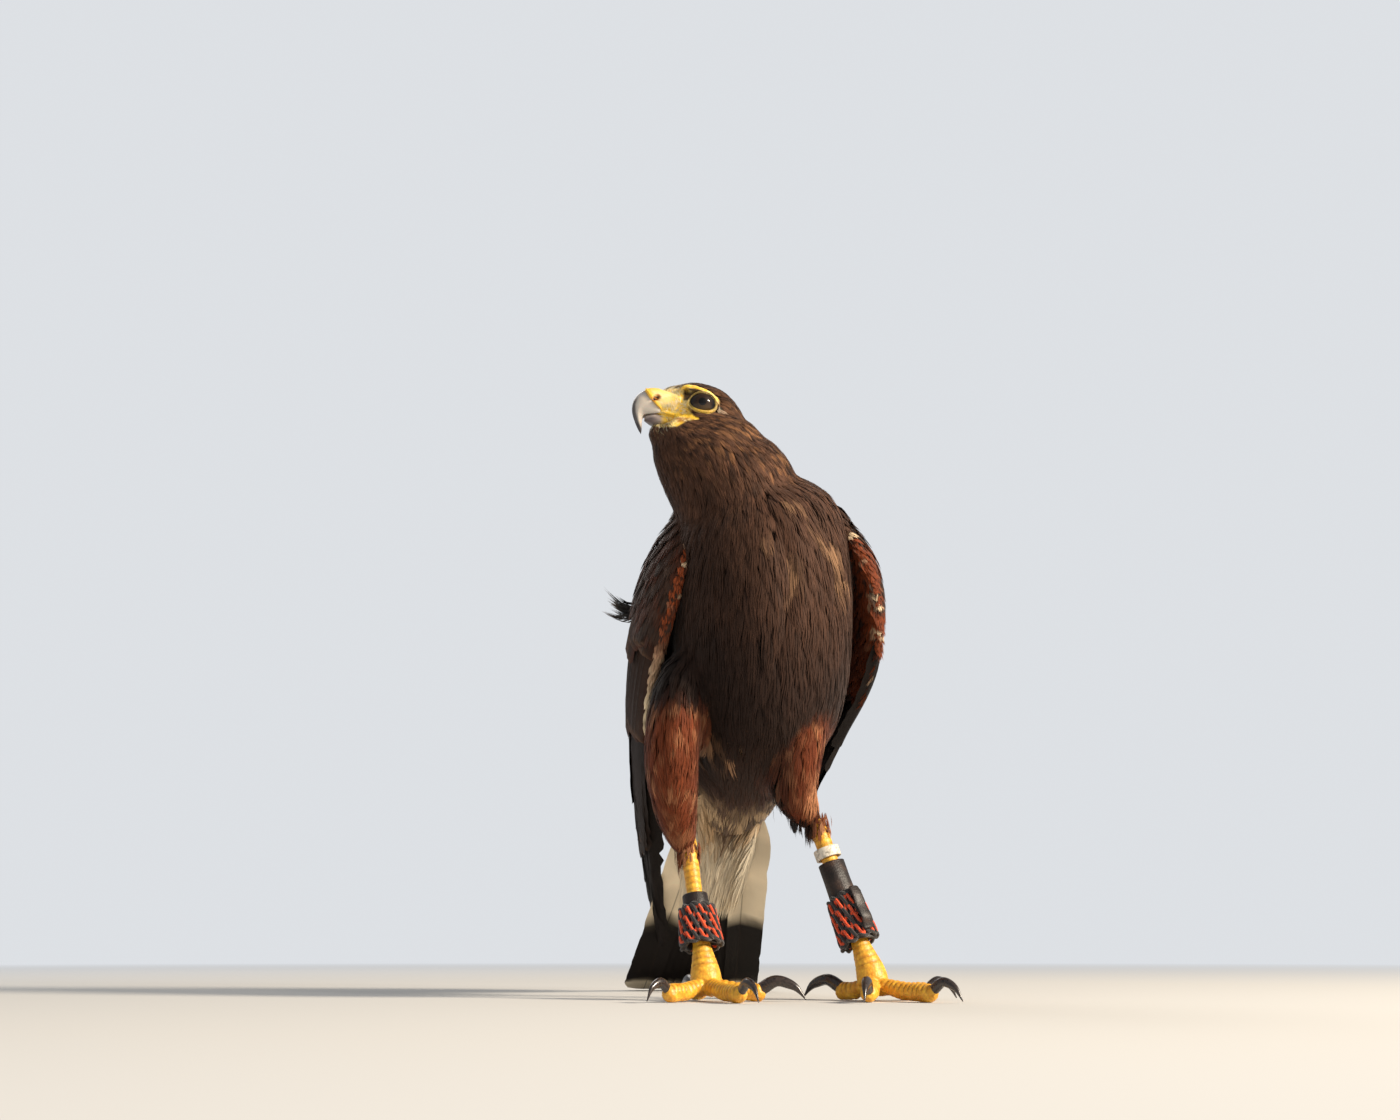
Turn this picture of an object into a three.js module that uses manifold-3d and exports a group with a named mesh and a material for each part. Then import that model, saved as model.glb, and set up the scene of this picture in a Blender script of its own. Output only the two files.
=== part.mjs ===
// A Harris's hawk standing with its head turned to its right, at life size in millimetres.
// The bird faces -Y, +Z is up, and its own right side is -X.
import * as THREE from "three";
import { mergeVertices } from "three/addons/utils/BufferGeometryUtils.js";
import Module from "manifold-3d";

const wasm = await Module();
wasm.setup();

// Driving dimensions, in millimetres unless a name says otherwise
const GAP = 0.35; // clearance between neighbouring solids
const FAR = 900; // larger than the bird, for cutting boxes
const LEAST_HALF = 0.3; // half thickness at which a limb's end is closed

const EYE_HEIGHT = 345; // centre of the eyes above the ground
const EYEBALL_RADIUS = 9;
const EYE_OUT = 10.8; // centre of each eyeball from the middle of the head
const EYE_UP = 2;
const HEAD_CENTRE = new THREE.Vector3(-36, -12, EYE_HEIGHT);
const HEAD_TURN_DEG = -88; // from straight ahead towards the bird's right
const HEAD_LIFT_DEG = 4; // bill raised above level

const TAIL_LENGTH = 226;
const TAIL_FEATHERS = 7; // blades that show along the closed tail
const TARSUS_RADIUS = 4.6;
const TOE_RADIUS = 4.9;
const SOLE_HEIGHT = 4.2; // centre of a toe above the ground

const BROWN = 0x33231a;
const RUFOUS = 0x6e3216;
const BLACK_BROWN = 0x1b1512;
const YELLOW = 0xe0a52c;
const HORN = 0xb9b4ac;
const CLAW_BLACK = 0x1c1816;
const LEATHER = 0x2c1a14;
const ORANGE = 0xd8502a;
const RING_GREY = 0xb9b2a4;
const EYE_BROWN = 0x24150d;

const vec = (p) => new THREE.Vector3(...p);
const { clamp, lerp, degToRad } = THREE.MathUtils;

// A smooth run of numbers read at t from 0 to 1
function along(values) {
  if (!Array.isArray(values)) return () => values;
  const run = new THREE.SplineCurve(values.map((v, i) => new THREE.Vector2(i, v)));
  return (t) => run.getPoint(clamp(t, 0, 1)).y;
}

// How far a limb has grown to its full section at t, with rounded ends that take these shares of its length
function roundEnds(t, [start, end]) {
  const rise = (s) => Math.sqrt(Math.max(0, 1 - (1 - clamp(s, 0, 1)) ** 2));
  return rise(start ? t / start : 1) * rise(end ? (1 - t) / end : 1);
}

// A closed limb along a path: a sphere whose rings are carried along it.
// wide is the half width along side and deep the half thickness across it. The section's two edges curl away
// from the outer face by curlNear, on the side that side points to, and by curlFar on the other.
const PLAIN_LIMB = { side: [1, 0, 0], ends: [0.12, 0.12], curlNear: 0, curlFar: 0, around: 20, rings: 20 };
function limb(spec, grow) {
  const { path, wide, deep, side, ends, curlNear, curlFar, around, rings } = { ...PLAIN_LIMB, ...spec };
  const curve = new THREE.CatmullRomCurve3(path.map(vec), false, "centripetal");
  const halfWide = along(wide);
  const halfDeep = along(deep);
  const nearCurl = along(curlNear);
  const farCurl = along(curlFar);
  const sideHint = vec(side);
  const shape = new THREE.SphereGeometry(1, around, rings);
  const spots = shape.attributes.position;
  const spot = new THREE.Vector3();
  for (let i = 0; i < spots.count; i++) {
    spot.fromBufferAttribute(spots, i);
    const polar = Math.acos(clamp(spot.y, -1, 1));
    const t = lerp(polar / Math.PI, (1 - Math.cos(polar)) / 2, 0.55);
    const centre = curve.getPoint(t);
    const forward = curve.getTangent(t);
    const across = sideHint.clone().addScaledVector(forward, -sideHint.dot(forward)).normalize();
    const outward = new THREE.Vector3().crossVectors(forward, across).normalize();
    const ring = Math.hypot(spot.x, spot.z) || 1;
    const pole = Math.hypot(spot.x, spot.z) < 1e-6 ? 0 : 1;
    const full = roundEnds(t, ends);
    const u = (spot.x / ring) * pole;
    const v = (spot.z / ring) * pole;
    const w = Math.max(halfWide(t) * full, LEAST_HALF) + grow;
    const d = Math.max(halfDeep(t) * full, LEAST_HALF) + grow;
    const endPush = t < 0.5 ? -grow : grow;
    centre.addScaledVector(forward, pole ? 0 : endPush);
    const curl = (u > 0 ? nearCurl(t) : farCurl(t)) * u * u * full;
    centre.addScaledVector(across, w * u).addScaledVector(outward, d * v - curl);
    spots.setXYZ(i, centre.x, centre.y, centre.z);
  }
  return shape;
}

// A three.js geometry as a manifold-3d solid, turned to face outwards if it was built inside out
function solidOf(geometry) {
  const bare = geometry.clone();
  bare.deleteAttribute("normal");
  bare.deleteAttribute("uv");
  const merged = mergeVertices(bare, 1e-4);
  const corners = new Uint32Array(merged.index.array);
  const build = () =>
    new wasm.Manifold(
      new wasm.Mesh({
        numProp: 3,
        vertProperties: new Float32Array(merged.attributes.position.array),
        triVerts: corners,
      }),
    );
  const made = build();
  if (made.volume() > 0) return made;
  for (let i = 0; i < corners.length; i += 3) {
    [corners[i + 1], corners[i + 2]] = [corners[i + 2], corners[i + 1]];
  }
  return build();
}
const grown = (spec, grow = 0) => solidOf(limb(spec, grow));

const union = (solids) => solids.reduce((whole, s) => whole.add(s));
const without = (solid, cutters) => cutters.reduce((left, c) => left.subtract(c), solid);

// The largest body of a solid, without the slivers that a cut leaves behind
function mainBody(solid) {
  return solid.decompose().reduce((best, s) => (s.volume() > best.volume() ? s : best));
}

// A box that holds everything on one side of a plane
function halfSpace(point, normal) {
  const box = new THREE.BoxGeometry(FAR, FAR, FAR);
  const facing = new THREE.Quaternion().setFromUnitVectors(
    new THREE.Vector3(0, 0, 1),
    vec(normal).normalize(),
  );
  box.translate(0, 0, FAR / 2).applyQuaternion(facing).translate(...point);
  return solidOf(box);
}

const group = new THREE.Group();
function addMesh(name, solid, colour, roughness, metalness = 0) {
  const { vertProperties, triVerts, numProp } = mainBody(solid).getMesh();
  const spots = new Float32Array((vertProperties.length / numProp) * 3);
  for (let i = 0; i < spots.length / 3; i++) {
    spots.set(vertProperties.subarray(i * numProp, i * numProp + 3), i * 3);
  }
  const geometry = new THREE.BufferGeometry();
  geometry.setAttribute("position", new THREE.BufferAttribute(spots, 3));
  geometry.setIndex(new THREE.BufferAttribute(triVerts, 1));
  geometry.computeVertexNormals();
  const finish = new THREE.MeshStandardMaterial({ color: colour, roughness, metalness });
  const mesh = new THREE.Mesh(geometry, finish);
  mesh.name = name;
  group.add(mesh);
}

// Points of the head are given forward along the bill, left, and up from between the eyes
const headTurn = new THREE.Quaternion()
  .setFromAxisAngle(new THREE.Vector3(0, 0, 1), degToRad(HEAD_TURN_DEG))
  .multiply(new THREE.Quaternion().setFromAxisAngle(new THREE.Vector3(1, 0, 0), degToRad(-HEAD_LIFT_DEG)));
function headPoint(forward, left, up) {
  return new THREE.Vector3(left, -forward, up).applyQuaternion(headTurn).add(HEAD_CENTRE).toArray();
}
const headLeft = new THREE.Vector3(1, 0, 0).applyQuaternion(headTurn).toArray();

// Trunk, neck and head, which are one piece of plumage parted by thin cuts
const trunk = {
  path: [[-8, -6, 309], [1, 2, 274], [4, 8, 222], [3, 20, 176], [-2, 46, 144], [-7, 82, 118], [-10, 112, 98]],
  wide: [44, 54, 55, 51, 38, 25, 15],
  deep: [39, 54, 63, 55, 34, 19, 9],
  ends: [0.14, 0.16],
  around: 22,
  rings: 16,
};
const neck = {
  path: [[-37, -11, 346], [-35, -11, 331], [-26, -9, 312], [-14, -6, 296], [-4, 2, 272]],
  wide: [25, 31.5, 35.5, 40, 34],
  deep: [22, 28, 33, 37, 30],
  ends: [0.3, 0.1],
  around: 20,
  rings: 10,
};
const skull = {
  path: [
    headPoint(23, 0, 0.5),
    headPoint(12, 0, 1.2),
    headPoint(0, 0, 1),
    headPoint(-14, 0, -1.5),
    headPoint(-29, 0, -6),
  ],
  wide: [8, 13.5, 17.2, 21, 19],
  deep: [11, 15.6, 18.6, 20, 18],
  side: headLeft,
  ends: [0.12, 0.5],
  around: 16,
  rings: 11,
};
const brow = (sign) => ({
  path: [
    headPoint(14, 10 * sign, 10),
    headPoint(5, 14 * sign, 11.2),
    headPoint(-4, 16 * sign, 9.4),
    headPoint(-12, 17 * sign, 5),
  ],
  wide: [2.4, 3.6, 3.8, 2],
  deep: [2, 2.8, 3, 2],
  side: headLeft,
  ends: [0.3, 0.3],
  around: 6,
  rings: 5,
});
const eyeball = (sign, grow = 0) =>
  solidOf(
    new THREE.SphereGeometry(EYEBALL_RADIUS + grow, 12, 8).translate(...headPoint(-0.5, EYE_OUT * sign, EYE_UP)),
  );

// The bill: cere, hooked upper half and lower half
const cere = {
  path: [headPoint(13, 0, 2), headPoint(21, 0, 3), headPoint(28.5, 0, 3.8)],
  wide: [9.4, 9, 7.4],
  deep: [10.5, 10, 8.8],
  side: headLeft,
  ends: [0.1, 0.08],
  around: 14,
  rings: 5,
};
const upperBill = {
  path: [
    headPoint(23, 0, 3.6),
    headPoint(30, 0, 3.4),
    headPoint(35.8, 0, 0.2),
    headPoint(37.8, 0, -6.5),
    headPoint(34.8, 0, -16.4),
  ],
  wide: [7.2, 6.8, 5.2, 3.3, 0.8],
  deep: [8.8, 8.4, 6.2, 3.6, 0.8],
  side: headLeft,
  ends: [0.05, 0.08],
  around: 12,
  rings: 10,
};
const lowerBill = {
  path: [headPoint(2, 0, -9.5), headPoint(14, 0, -9), headPoint(24, 0, -7.6), headPoint(31.5, 0, -6.8)],
  wide: [10.5, 9, 6.6, 3.6],
  deep: [3.6, 3.6, 3, 1.8],
  side: headLeft,
  ends: [0.08, 0.16],
  around: 10,
  rings: 7,
};

// Feathered thighs
const thigh = {
  right: {
    path: [[-38, 16, 196], [-47, -2, 168], [-51, -3, 136], [-48.5, 8, 104], [-43, 15, 80]],
    wide: [16, 18, 17, 13.5, 8],
    deep: [24, 27, 24, 17, 8],
    ends: [0.2, 0.12],
    around: 14,
    rings: 10,
  },
  left: {
    path: [[30, 20, 192], [28, 7, 166], [23, 6, 140], [23.5, 10, 118], [33, 13, 98]],
    wide: [18, 19, 18, 15, 8],
    deep: [26, 27, 24, 18, 8],
    ends: [0.2, 0.12],
    around: 14,
    rings: 10,
  },
};

// Each leg: ankle, centre of the foot, and the foot's turn from straight ahead towards the bird's left
const leg = {
  right: { ankle: [-41, 15, 96], foot: [-31, -4, 12], turnDeg: 14 },
  left: { ankle: [35, 13, 104], foot: [64, -6, 12], turnDeg: 42 },
};
// Half widths and half depths of a shank from ankle to foot
const SHANK_WIDE = [5.4, TARSUS_RADIUS, TARSUS_RADIUS + 0.2, 8.6, 8.6];
const SHANK_DEEP = [6, TARSUS_RADIUS + 0.5, TARSUS_RADIUS + 0.6, 8.4, 8];
const shank = ({ ankle, foot }) => ({
  path: [
    ankle,
    vec(ankle).lerp(vec(foot), 0.35).toArray(),
    vec(ankle).lerp(vec(foot), 0.75).toArray(),
    vec(ankle).lerp(vec(foot), 0.97).toArray(),
    [foot[0], foot[1] - 2, foot[2] - 5],
  ],
  wide: SHANK_WIDE,
  deep: SHANK_DEEP,
  ends: [0.08, 0.12],
  around: 10,
  rings: 10,
});

// What each leg wears, as shares of the way from ankle to foot and half widths at top and bottom
const worn = {
  right: {
    cuff: { from: 0.44, to: 0.74, top: 7.4, bottom: 9.6 },
    lacing: { from: 0.54, to: 0.8, top: 10.2, bottom: 12.2 },
  },
  left: {
    ring: { from: 0.2, to: 0.265, top: 8, bottom: 8 },
    cuff: { from: 0.28, to: 0.58, top: 7.8, bottom: 9 },
    lacing: { from: 0.5, to: 0.8, top: 10.4, bottom: 11.4 },
  },
};
// A sleeve round a shank, before the shank's room is cut from it
function sleeve({ ankle, foot }, { from, to, top, bottom }) {
  const at = (share) => vec(ankle).lerp(vec(foot), share).toArray();
  const half = [top, (top + bottom) / 2, bottom];
  const path = [at(from), at((from + to) / 2), at(to)];
  return { path, wide: half, deep: half, ends: [0.14, 0.14], around: 12, rings: 4 };
}
// The loose end of the cuff's strap, hanging down beside the bird's left leg
const strap = {
  path: [[53.6, -5.8, 63], [57.6, -9.6, 53], [61, -12, 40]],
  wide: 3.6,
  deep: 0.9,
  side: [0.89, 0.45, 0],
  ends: [0.04, 0.04],
  around: 8,
  rings: 5,
};

// Toes by name: direction from the foot's own forward line, length, and the claw's reach
const TOES = {
  hind: { turnDeg: 178, length: 25, claw: 27, clawRadius: 3.9 },
  inner: { turnDeg: 58, length: 34, claw: 25, clawRadius: 3.7 },
  middle: { turnDeg: 6, length: 47, claw: 20, clawRadius: 3.1 },
  outer: { turnDeg: -58, length: 36, claw: 17, clawRadius: 2.8 },
};
// Forward for a foot is -Y. A positive turn is towards the body's midline
function toeDirection(turnDeg, mirror, footTurnDeg) {
  const angle = degToRad(footTurnDeg + turnDeg * mirror);
  return new THREE.Vector3(Math.sin(angle), -Math.cos(angle), 0);
}
function toeSpec(centre, direction, length, radius = TOE_RADIUS) {
  const at = (reach, z) => [centre[0] + direction.x * reach, centre[1] + direction.y * reach, z];
  return {
    path: [
      at(3, 8),
      at(length * 0.35, SOLE_HEIGHT + 2.6),
      at(length * 0.7, SOLE_HEIGHT + 0.6),
      at(length, SOLE_HEIGHT + 1.2),
    ],
    wide: [radius * 1.15, radius * 0.98, radius * 0.92, radius * 1.02, radius * 0.8],
    deep: [radius * 1.1, radius * 0.95, radius * 0.95, radius * 1.08, radius * 0.85],
    side: [-direction.y, direction.x, 0],
    ends: [0.08, 0.12],
    around: 8,
    rings: 7,
  };
}
function clawSpec(centre, direction, length, reach, radius) {
  const at = (r, z) => [centre[0] + direction.x * r, centre[1] + direction.y * r, z];
  const base = length - 2;
  return {
    path: [at(base, 6.6), at(base + reach * 0.32, 10.4), at(base + reach * 0.72, 8.6), at(base + reach, 1.2)],
    wide: [radius * 0.92, radius * 0.86, radius * 0.56, 0.5],
    deep: [radius * 1.15, radius, radius * 0.62, 0.5],
    side: [-direction.y, direction.x, 0],
    ends: [0.06, 0.05],
    around: 7,
    rings: 6,
  };
}

// Folded wings. side points to the front edge, and the rear edge curls over the back
const wing = {
  right: {
    path: [[-42, 2, 292], [-57, 14, 254], [-67, 42, 206], [-67, 86, 156], [-59, 132, 102], [-47, 184, 46]],
    wide: [22, 44, 48, 42, 28, 13],
    deep: [10, 12, 11, 8, 6, 2.5],
    curlNear: [6, 8, 5, 2, 0, 0],
    curlFar: [12, 26, 42, 54, 42, 10],
    side: [0, -1, -0.4],
    mirror: 1,
  },
  left: {
    path: [[48, 4, 294], [65, 18, 260], [67, 44, 220], [56, 86, 178], [42, 132, 130], [26, 184, 72]],
    wide: [22, 40, 43, 38, 26, 13],
    deep: [10, 12, 11, 8, 6, 2.5],
    curlNear: [4, 4, -2, -1, 0, 0],
    curlFar: [12, 28, 42, 48, 30, 6],
    side: [0.15, -1, -0.4],
    mirror: -1,
  },
};
const WING_RINGS = { ends: [0.2, 0.08], around: 18, rings: 12 };

// Flight feathers that stand clear at the end of each wing: where each starts along the wing's path, how far
// it lies towards the front edge, and how far its tip falls short of the longest
const PRIMARIES = { count: 4, from: 0.55, frontStep: 4.6, tipStep: 15, reach: 16, half: 7.5, halfThick: 1.3 };
function primaryBlade({ path, side }, index) {
  const curve = new THREE.CatmullRomCurve3(path.map(vec), false, "centripetal");
  const towardsFront = vec(side).normalize().multiplyScalar(PRIMARIES.frontStep * (index - 0.5));
  const reach = PRIMARIES.reach - PRIMARIES.tipStep * index;
  const tip = curve.getPoint(1).addScaledVector(curve.getTangent(1), reach);
  const middle = curve.getPoint(0.8);
  const start = curve.getPoint(PRIMARIES.from);
  return {
    path: [start, middle, tip].map((p) => p.clone().add(towardsFront).toArray()),
    wide: [PRIMARIES.half, PRIMARIES.half, PRIMARIES.half * 0.7],
    deep: [PRIMARIES.halfThick, PRIMARIES.halfThick, PRIMARIES.halfThick * 0.7],
    side,
    ends: [0.1, 0.16],
    around: 6,
    rings: 6,
  };
}
function wingSolid(sideName) {
  const { mirror, curlNear, curlFar, ...form } = wing[sideName];
  const turned = (curl) => curl.map((c) => c * mirror);
  const hand = { ...form, ...WING_RINGS, curlNear: turned(curlNear), curlFar: turned(curlFar) };
  const blades = Array.from({ length: PRIMARIES.count }, (_, i) => primaryBlade(wing[sideName], i));
  return union([hand, ...blades].map((s) => grown(s)));
}

// Tail blades fan out from one root, the middle one on top
const TAIL_ROOT = [-9, 66, 124];
const TAIL_TURN_DEG = -3; // towards the bird's right
const TAIL_DROP_DEG = 33.7;
const TAIL_SPREAD_DEG = 11;
const TAIL_BLADE_HALF = 12;
function tailBlade(index) {
  const share = (index / (TAIL_FEATHERS - 1)) * 2 - 1;
  const angle = degToRad(share * (TAIL_SPREAD_DEG / 2) + TAIL_TURN_DEG);
  const drop = degToRad(TAIL_DROP_DEG);
  const direction = new THREE.Vector3(0, Math.cos(drop), -Math.sin(drop)).multiplyScalar(Math.cos(angle));
  direction.x = Math.sin(angle);
  const length = TAIL_LENGTH * (1 - 0.035 * share * share);
  const sink = 3.2 * share * share;
  const at = (r) => [
    TAIL_ROOT[0] + share * 12 + direction.x * r,
    TAIL_ROOT[1] + direction.y * r,
    TAIL_ROOT[2] + direction.z * r - sink,
  ];
  return {
    path: [at(0), at(length * 0.4), at(length * 0.8), at(length)],
    wide: [TAIL_BLADE_HALF * 0.6, TAIL_BLADE_HALF * 0.85, TAIL_BLADE_HALF, TAIL_BLADE_HALF * 0.9],
    deep: [3.4, 2.4, 1.6, 1.1],
    side: [1, 0, 0],
    ends: [0.1, 0.06],
    around: 6,
    rings: 5,
  };
}

const ground = halfSpace([0, 0, 0], [0, 0, 1]);
const bodyRoom = union([grown(trunk, GAP), grown(neck, GAP)]);
const tailSolids = (grow) => Array.from({ length: TAIL_FEATHERS }, (_, i) => grown(tailBlade(i), grow));
const tailRoom = union(tailSolids(GAP));

// Head and neck leave the trunk at two slanted cuts
const NECK_CUT = { point: [-8, -6, 294], normal: [-0.25, -0.1, 1] };
const HEAD_CUT = { point: [-26, -8, 327], normal: [-0.6, -0.05, 1] };
const above = ({ point, normal }, lift) => {
  const raised = vec(point).addScaledVector(vec(normal).normalize(), lift);
  return halfSpace(raised.toArray(), normal);
};
const billRooms = [upperBill, lowerBill, cere].map((s) => grown(s, GAP));
const plumageWhole = union([trunk, neck, skull, brow(1), brow(-1)].map((s) => grown(s)));
const plumage = without(plumageWhole, [eyeball(1, GAP), eyeball(-1, GAP), ...billRooms]);
addMesh("trunk", plumage.subtract(above(NECK_CUT, -GAP / 2)), BROWN, 0.85);
const neckSolid = plumage.intersect(above(NECK_CUT, GAP / 2)).subtract(above(HEAD_CUT, -GAP / 2));
addMesh("neck", neckSolid, BROWN, 0.85);
addMesh("head", plumage.intersect(above(HEAD_CUT, GAP / 2)), BROWN, 0.85);
addMesh("cere", without(grown(cere), [grown(upperBill, GAP), grown(lowerBill, GAP)]), YELLOW, 0.5);
addMesh("bill_upper", grown(upperBill), HORN, 0.35);
addMesh("bill_lower", without(grown(lowerBill), [grown(upperBill, GAP)]), HORN, 0.4);
addMesh("eye_left", eyeball(1), EYE_BROWN, 0.1);
addMesh("eye_right", eyeball(-1), EYE_BROWN, 0.1);
addMesh("tail", without(union(tailSolids(0)), [bodyRoom]).intersect(ground), BLACK_BROWN, 0.7);

for (const [sideName, mirror] of [["right", 1], ["left", -1]]) {
  const { foot, turnDeg } = leg[sideName];
  const thighRoom = grown(thigh[sideName], GAP);
  addMesh(`thigh_${sideName}`, without(grown(thigh[sideName]), [bodyRoom]), RUFOUS, 0.85);
  const wingFitted = without(wingSolid(sideName), [bodyRoom, thighRoom, tailRoom]);
  addMesh(`wing_${sideName}`, wingFitted, BLACK_BROWN, 0.8);

  const shankRoom = grown(shank(leg[sideName]), GAP);
  const shankSolid = without(grown(shank(leg[sideName])), [thighRoom]);
  addMesh(`leg_${sideName}`, shankSolid.intersect(ground), YELLOW, 0.6);

  const toes = Object.entries(TOES).map(([toeName, toe]) => {
    const direction = toeDirection(toe.turnDeg, mirror, turnDeg);
    const spec = toeSpec(foot, direction, toe.length);
    return { toeName, spec, clawSpec: clawSpec(foot, direction, toe.length, toe.claw, toe.clawRadius) };
  });
  const clawRooms = toes.map((toe) => grown(toe.clawSpec, GAP));
  toes.forEach(({ toeName, spec, clawSpec: claw }, i) => {
    const earlier = toes.slice(0, i).map((toe) => grown(toe.spec, GAP));
    const toeSolid = without(grown(spec), [shankRoom, ...clawRooms, ...earlier]);
    addMesh(`toe_${toeName}_${sideName}`, toeSolid.intersect(ground), YELLOW, 0.6);
    addMesh(`claw_${toeName}_${sideName}`, grown(claw).intersect(ground), CLAW_BLACK, 0.25);
  });

  const { cuff, lacing, ring } = worn[sideName];
  const fitted = (piece, rooms) =>
    without(grown(sleeve(leg[sideName], piece)), [shankRoom, thighRoom, ...rooms]);
  const cuffRoom = grown(sleeve(leg[sideName], cuff), GAP);
  addMesh(`cuff_${sideName}`, fitted(cuff, []), LEATHER, 0.6);
  addMesh(`lacing_${sideName}`, fitted(lacing, [cuffRoom]), ORANGE, 0.7);
  if (ring) {
    const lacingRoom = grown(sleeve(leg[sideName], lacing), GAP);
    addMesh(`ring_${sideName}`, fitted(ring, [cuffRoom]), RING_GREY, 0.4);
    addMesh(`strap_${sideName}`, without(grown(strap), [shankRoom, cuffRoom, lacingRoom]), LEATHER, 0.6);
  }
}

// The origin is on the ground, under the middle of the whole bird
const extent = new THREE.Box3().setFromObject(group);
const middle = extent.getCenter(new THREE.Vector3());
group.children.forEach((mesh) => mesh.position.set(-middle.x, -middle.y, -extent.min.z));

export default group;
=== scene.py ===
import math

import bpy
import numpy as np
from mathutils import Matrix, Vector
from mathutils.bvhtree import BVHTree
from mathutils.kdtree import KDTree


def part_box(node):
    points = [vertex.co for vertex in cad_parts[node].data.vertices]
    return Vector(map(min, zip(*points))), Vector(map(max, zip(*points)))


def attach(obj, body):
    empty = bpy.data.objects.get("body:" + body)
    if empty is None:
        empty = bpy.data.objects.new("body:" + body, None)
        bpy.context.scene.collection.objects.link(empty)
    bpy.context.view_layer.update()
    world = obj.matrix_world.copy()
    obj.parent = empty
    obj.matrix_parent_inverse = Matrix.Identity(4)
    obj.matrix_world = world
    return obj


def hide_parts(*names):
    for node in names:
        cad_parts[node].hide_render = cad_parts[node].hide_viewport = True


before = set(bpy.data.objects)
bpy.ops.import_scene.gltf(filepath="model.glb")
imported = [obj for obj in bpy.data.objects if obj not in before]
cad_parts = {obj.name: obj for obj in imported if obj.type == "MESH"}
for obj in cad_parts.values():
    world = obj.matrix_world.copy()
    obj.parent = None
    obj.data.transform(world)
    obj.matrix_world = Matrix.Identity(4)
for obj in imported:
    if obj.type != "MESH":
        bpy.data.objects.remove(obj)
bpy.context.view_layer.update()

# A Harris's hawk at life size. Everything is worked out in millimetres in the bird's own axes:
# it faces -Y, +Z is up, its right side is -X. settle() puts a finished piece in the frame.
print("Harris's hawk: finding the frame")

head = {
    "centre": (-36, -12, 345),
    "turn": -88,            # degrees from straight ahead towards the bird's right
    "lift": 4,              # bill above level
    "eye": (-0.5, 10.8, 2),  # forward, left, up from the centre
    "eyeRadius": 9,
}


def unit(v):
    v = np.asarray(v, float)
    return v / np.maximum(np.linalg.norm(v, axis=-1, keepdims=True), 1e-9)


turn, lift = math.radians(head["turn"]), math.radians(head["lift"])
headForward = np.array([math.sin(turn) * math.cos(lift), -math.cos(turn) * math.cos(lift), math.sin(lift)])
headLeft = np.array([math.cos(turn), math.sin(turn), 0])
headUp = np.cross(headLeft, -headForward)
if headUp[2] < 0:
    headUp = -headUp
headAxes = np.array([headForward, headLeft, headUp])


def headPoint(f, l, u):
    return np.array(head["centre"], float) + np.array([f, l, u], float) @ headAxes


def toHead(points):
    return (np.asarray(points, float) - head["centre"]) @ headAxes.T


eyeLow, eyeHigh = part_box("eye_left")
base = np.array((eyeLow + eyeHigh) / 2) - headPoint(*head["eye"]) / 1000


def settle(piece, material, slotName, *nodes):
    bpy.context.view_layer.update()
    piece.data.transform(piece.matrix_world)
    piece.matrix_world = Matrix.Identity(4)
    piece.data.transform(Matrix.Translation(base) @ Matrix.Scale(0.001, 4))
    if material:
        piece.data.materials.clear()
        piece.data.materials.append(material)
    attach(piece, "root")
    if nodes:
        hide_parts(*nodes)
    return piece


def clearSelection():
    if bpy.context.mode != "OBJECT":
        bpy.ops.object.mode_set(mode="OBJECT")
    bpy.ops.object.select_all(action="DESELECT")


def choose(piece):
    clearSelection()
    piece.select_set(True)
    bpy.context.view_layer.objects.active = piece
    return piece


def newPiece(name, points, faces, smooth=True):
    mesh = bpy.data.meshes.new(name)
    mesh.from_pydata(np.asarray(points).tolist(), [], faces if isinstance(faces, list) else faces.tolist())
    mesh.update()
    piece = bpy.data.objects.new(name, mesh)
    bpy.context.scene.collection.objects.link(piece)
    if smooth:
        mesh.polygons.foreach_set("use_smooth", np.ones(len(mesh.polygons), bool))
    return piece


def pointsOf(piece):
    flat = np.zeros(len(piece.data.vertices) * 3, np.float32)
    piece.data.vertices.foreach_get("co", flat)
    return flat.reshape(-1, 3).astype(float)


def normalsOf(piece):
    piece.data.update()
    flat = np.zeros(len(piece.data.vertices) * 3, np.float32)
    piece.data.vertex_normals.foreach_get("vector", flat)
    return flat.reshape(-1, 3).astype(float)


def movePoints(piece, points):
    piece.data.vertices.foreach_set("co", np.asarray(points, np.float32).ravel())
    piece.data.update()


def treeOf(piece):
    polygons = [tuple(p.vertices) for p in piece.data.polygons]
    return BVHTree.FromPolygons([tuple(v) for v in pointsOf(piece)], polygons)


def finishModifiers(piece):
    choose(piece)
    for modifier in list(piece.modifiers):
        bpy.ops.object.modifier_apply(modifier=modifier.name)
    return piece


def voxelShell(piece, size, smoothing=0):
    choose(piece)
    piece.data.remesh_voxel_size = size
    bpy.ops.object.voxel_remesh()
    if smoothing:
        soften = piece.modifiers.new("soften", "SMOOTH")
        soften.factor, soften.iterations = 0.5, smoothing
        finishModifiers(piece)
    bpy.ops.object.shade_smooth()
    return piece


def joined(name, pieces):
    clearSelection()
    for piece in pieces:
        piece.select_set(True)
    bpy.context.view_layer.objects.active = pieces[0]
    bpy.ops.object.join()
    pieces[0].name = name
    pieces[0].data.name = name
    return pieces[0]


# Smooth steps, runs of numbers and noise
def ease(x, low, high):
    s = np.clip((np.asarray(x, float) - low) / (high - low), 0, 1)
    return s * s * (3 - 2 * s)


def mix(a, b, share):
    a, b, share = np.asarray(a, float), np.asarray(b, float), np.asarray(share, float)
    if share.ndim and a.ndim and a.shape[-1] == 3:
        share = share[..., None]
    elif share.ndim and b.ndim and b.shape[-1] == 3 and share.shape != b.shape:
        share = share[..., None]
    return a + (b - a) * share


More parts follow.
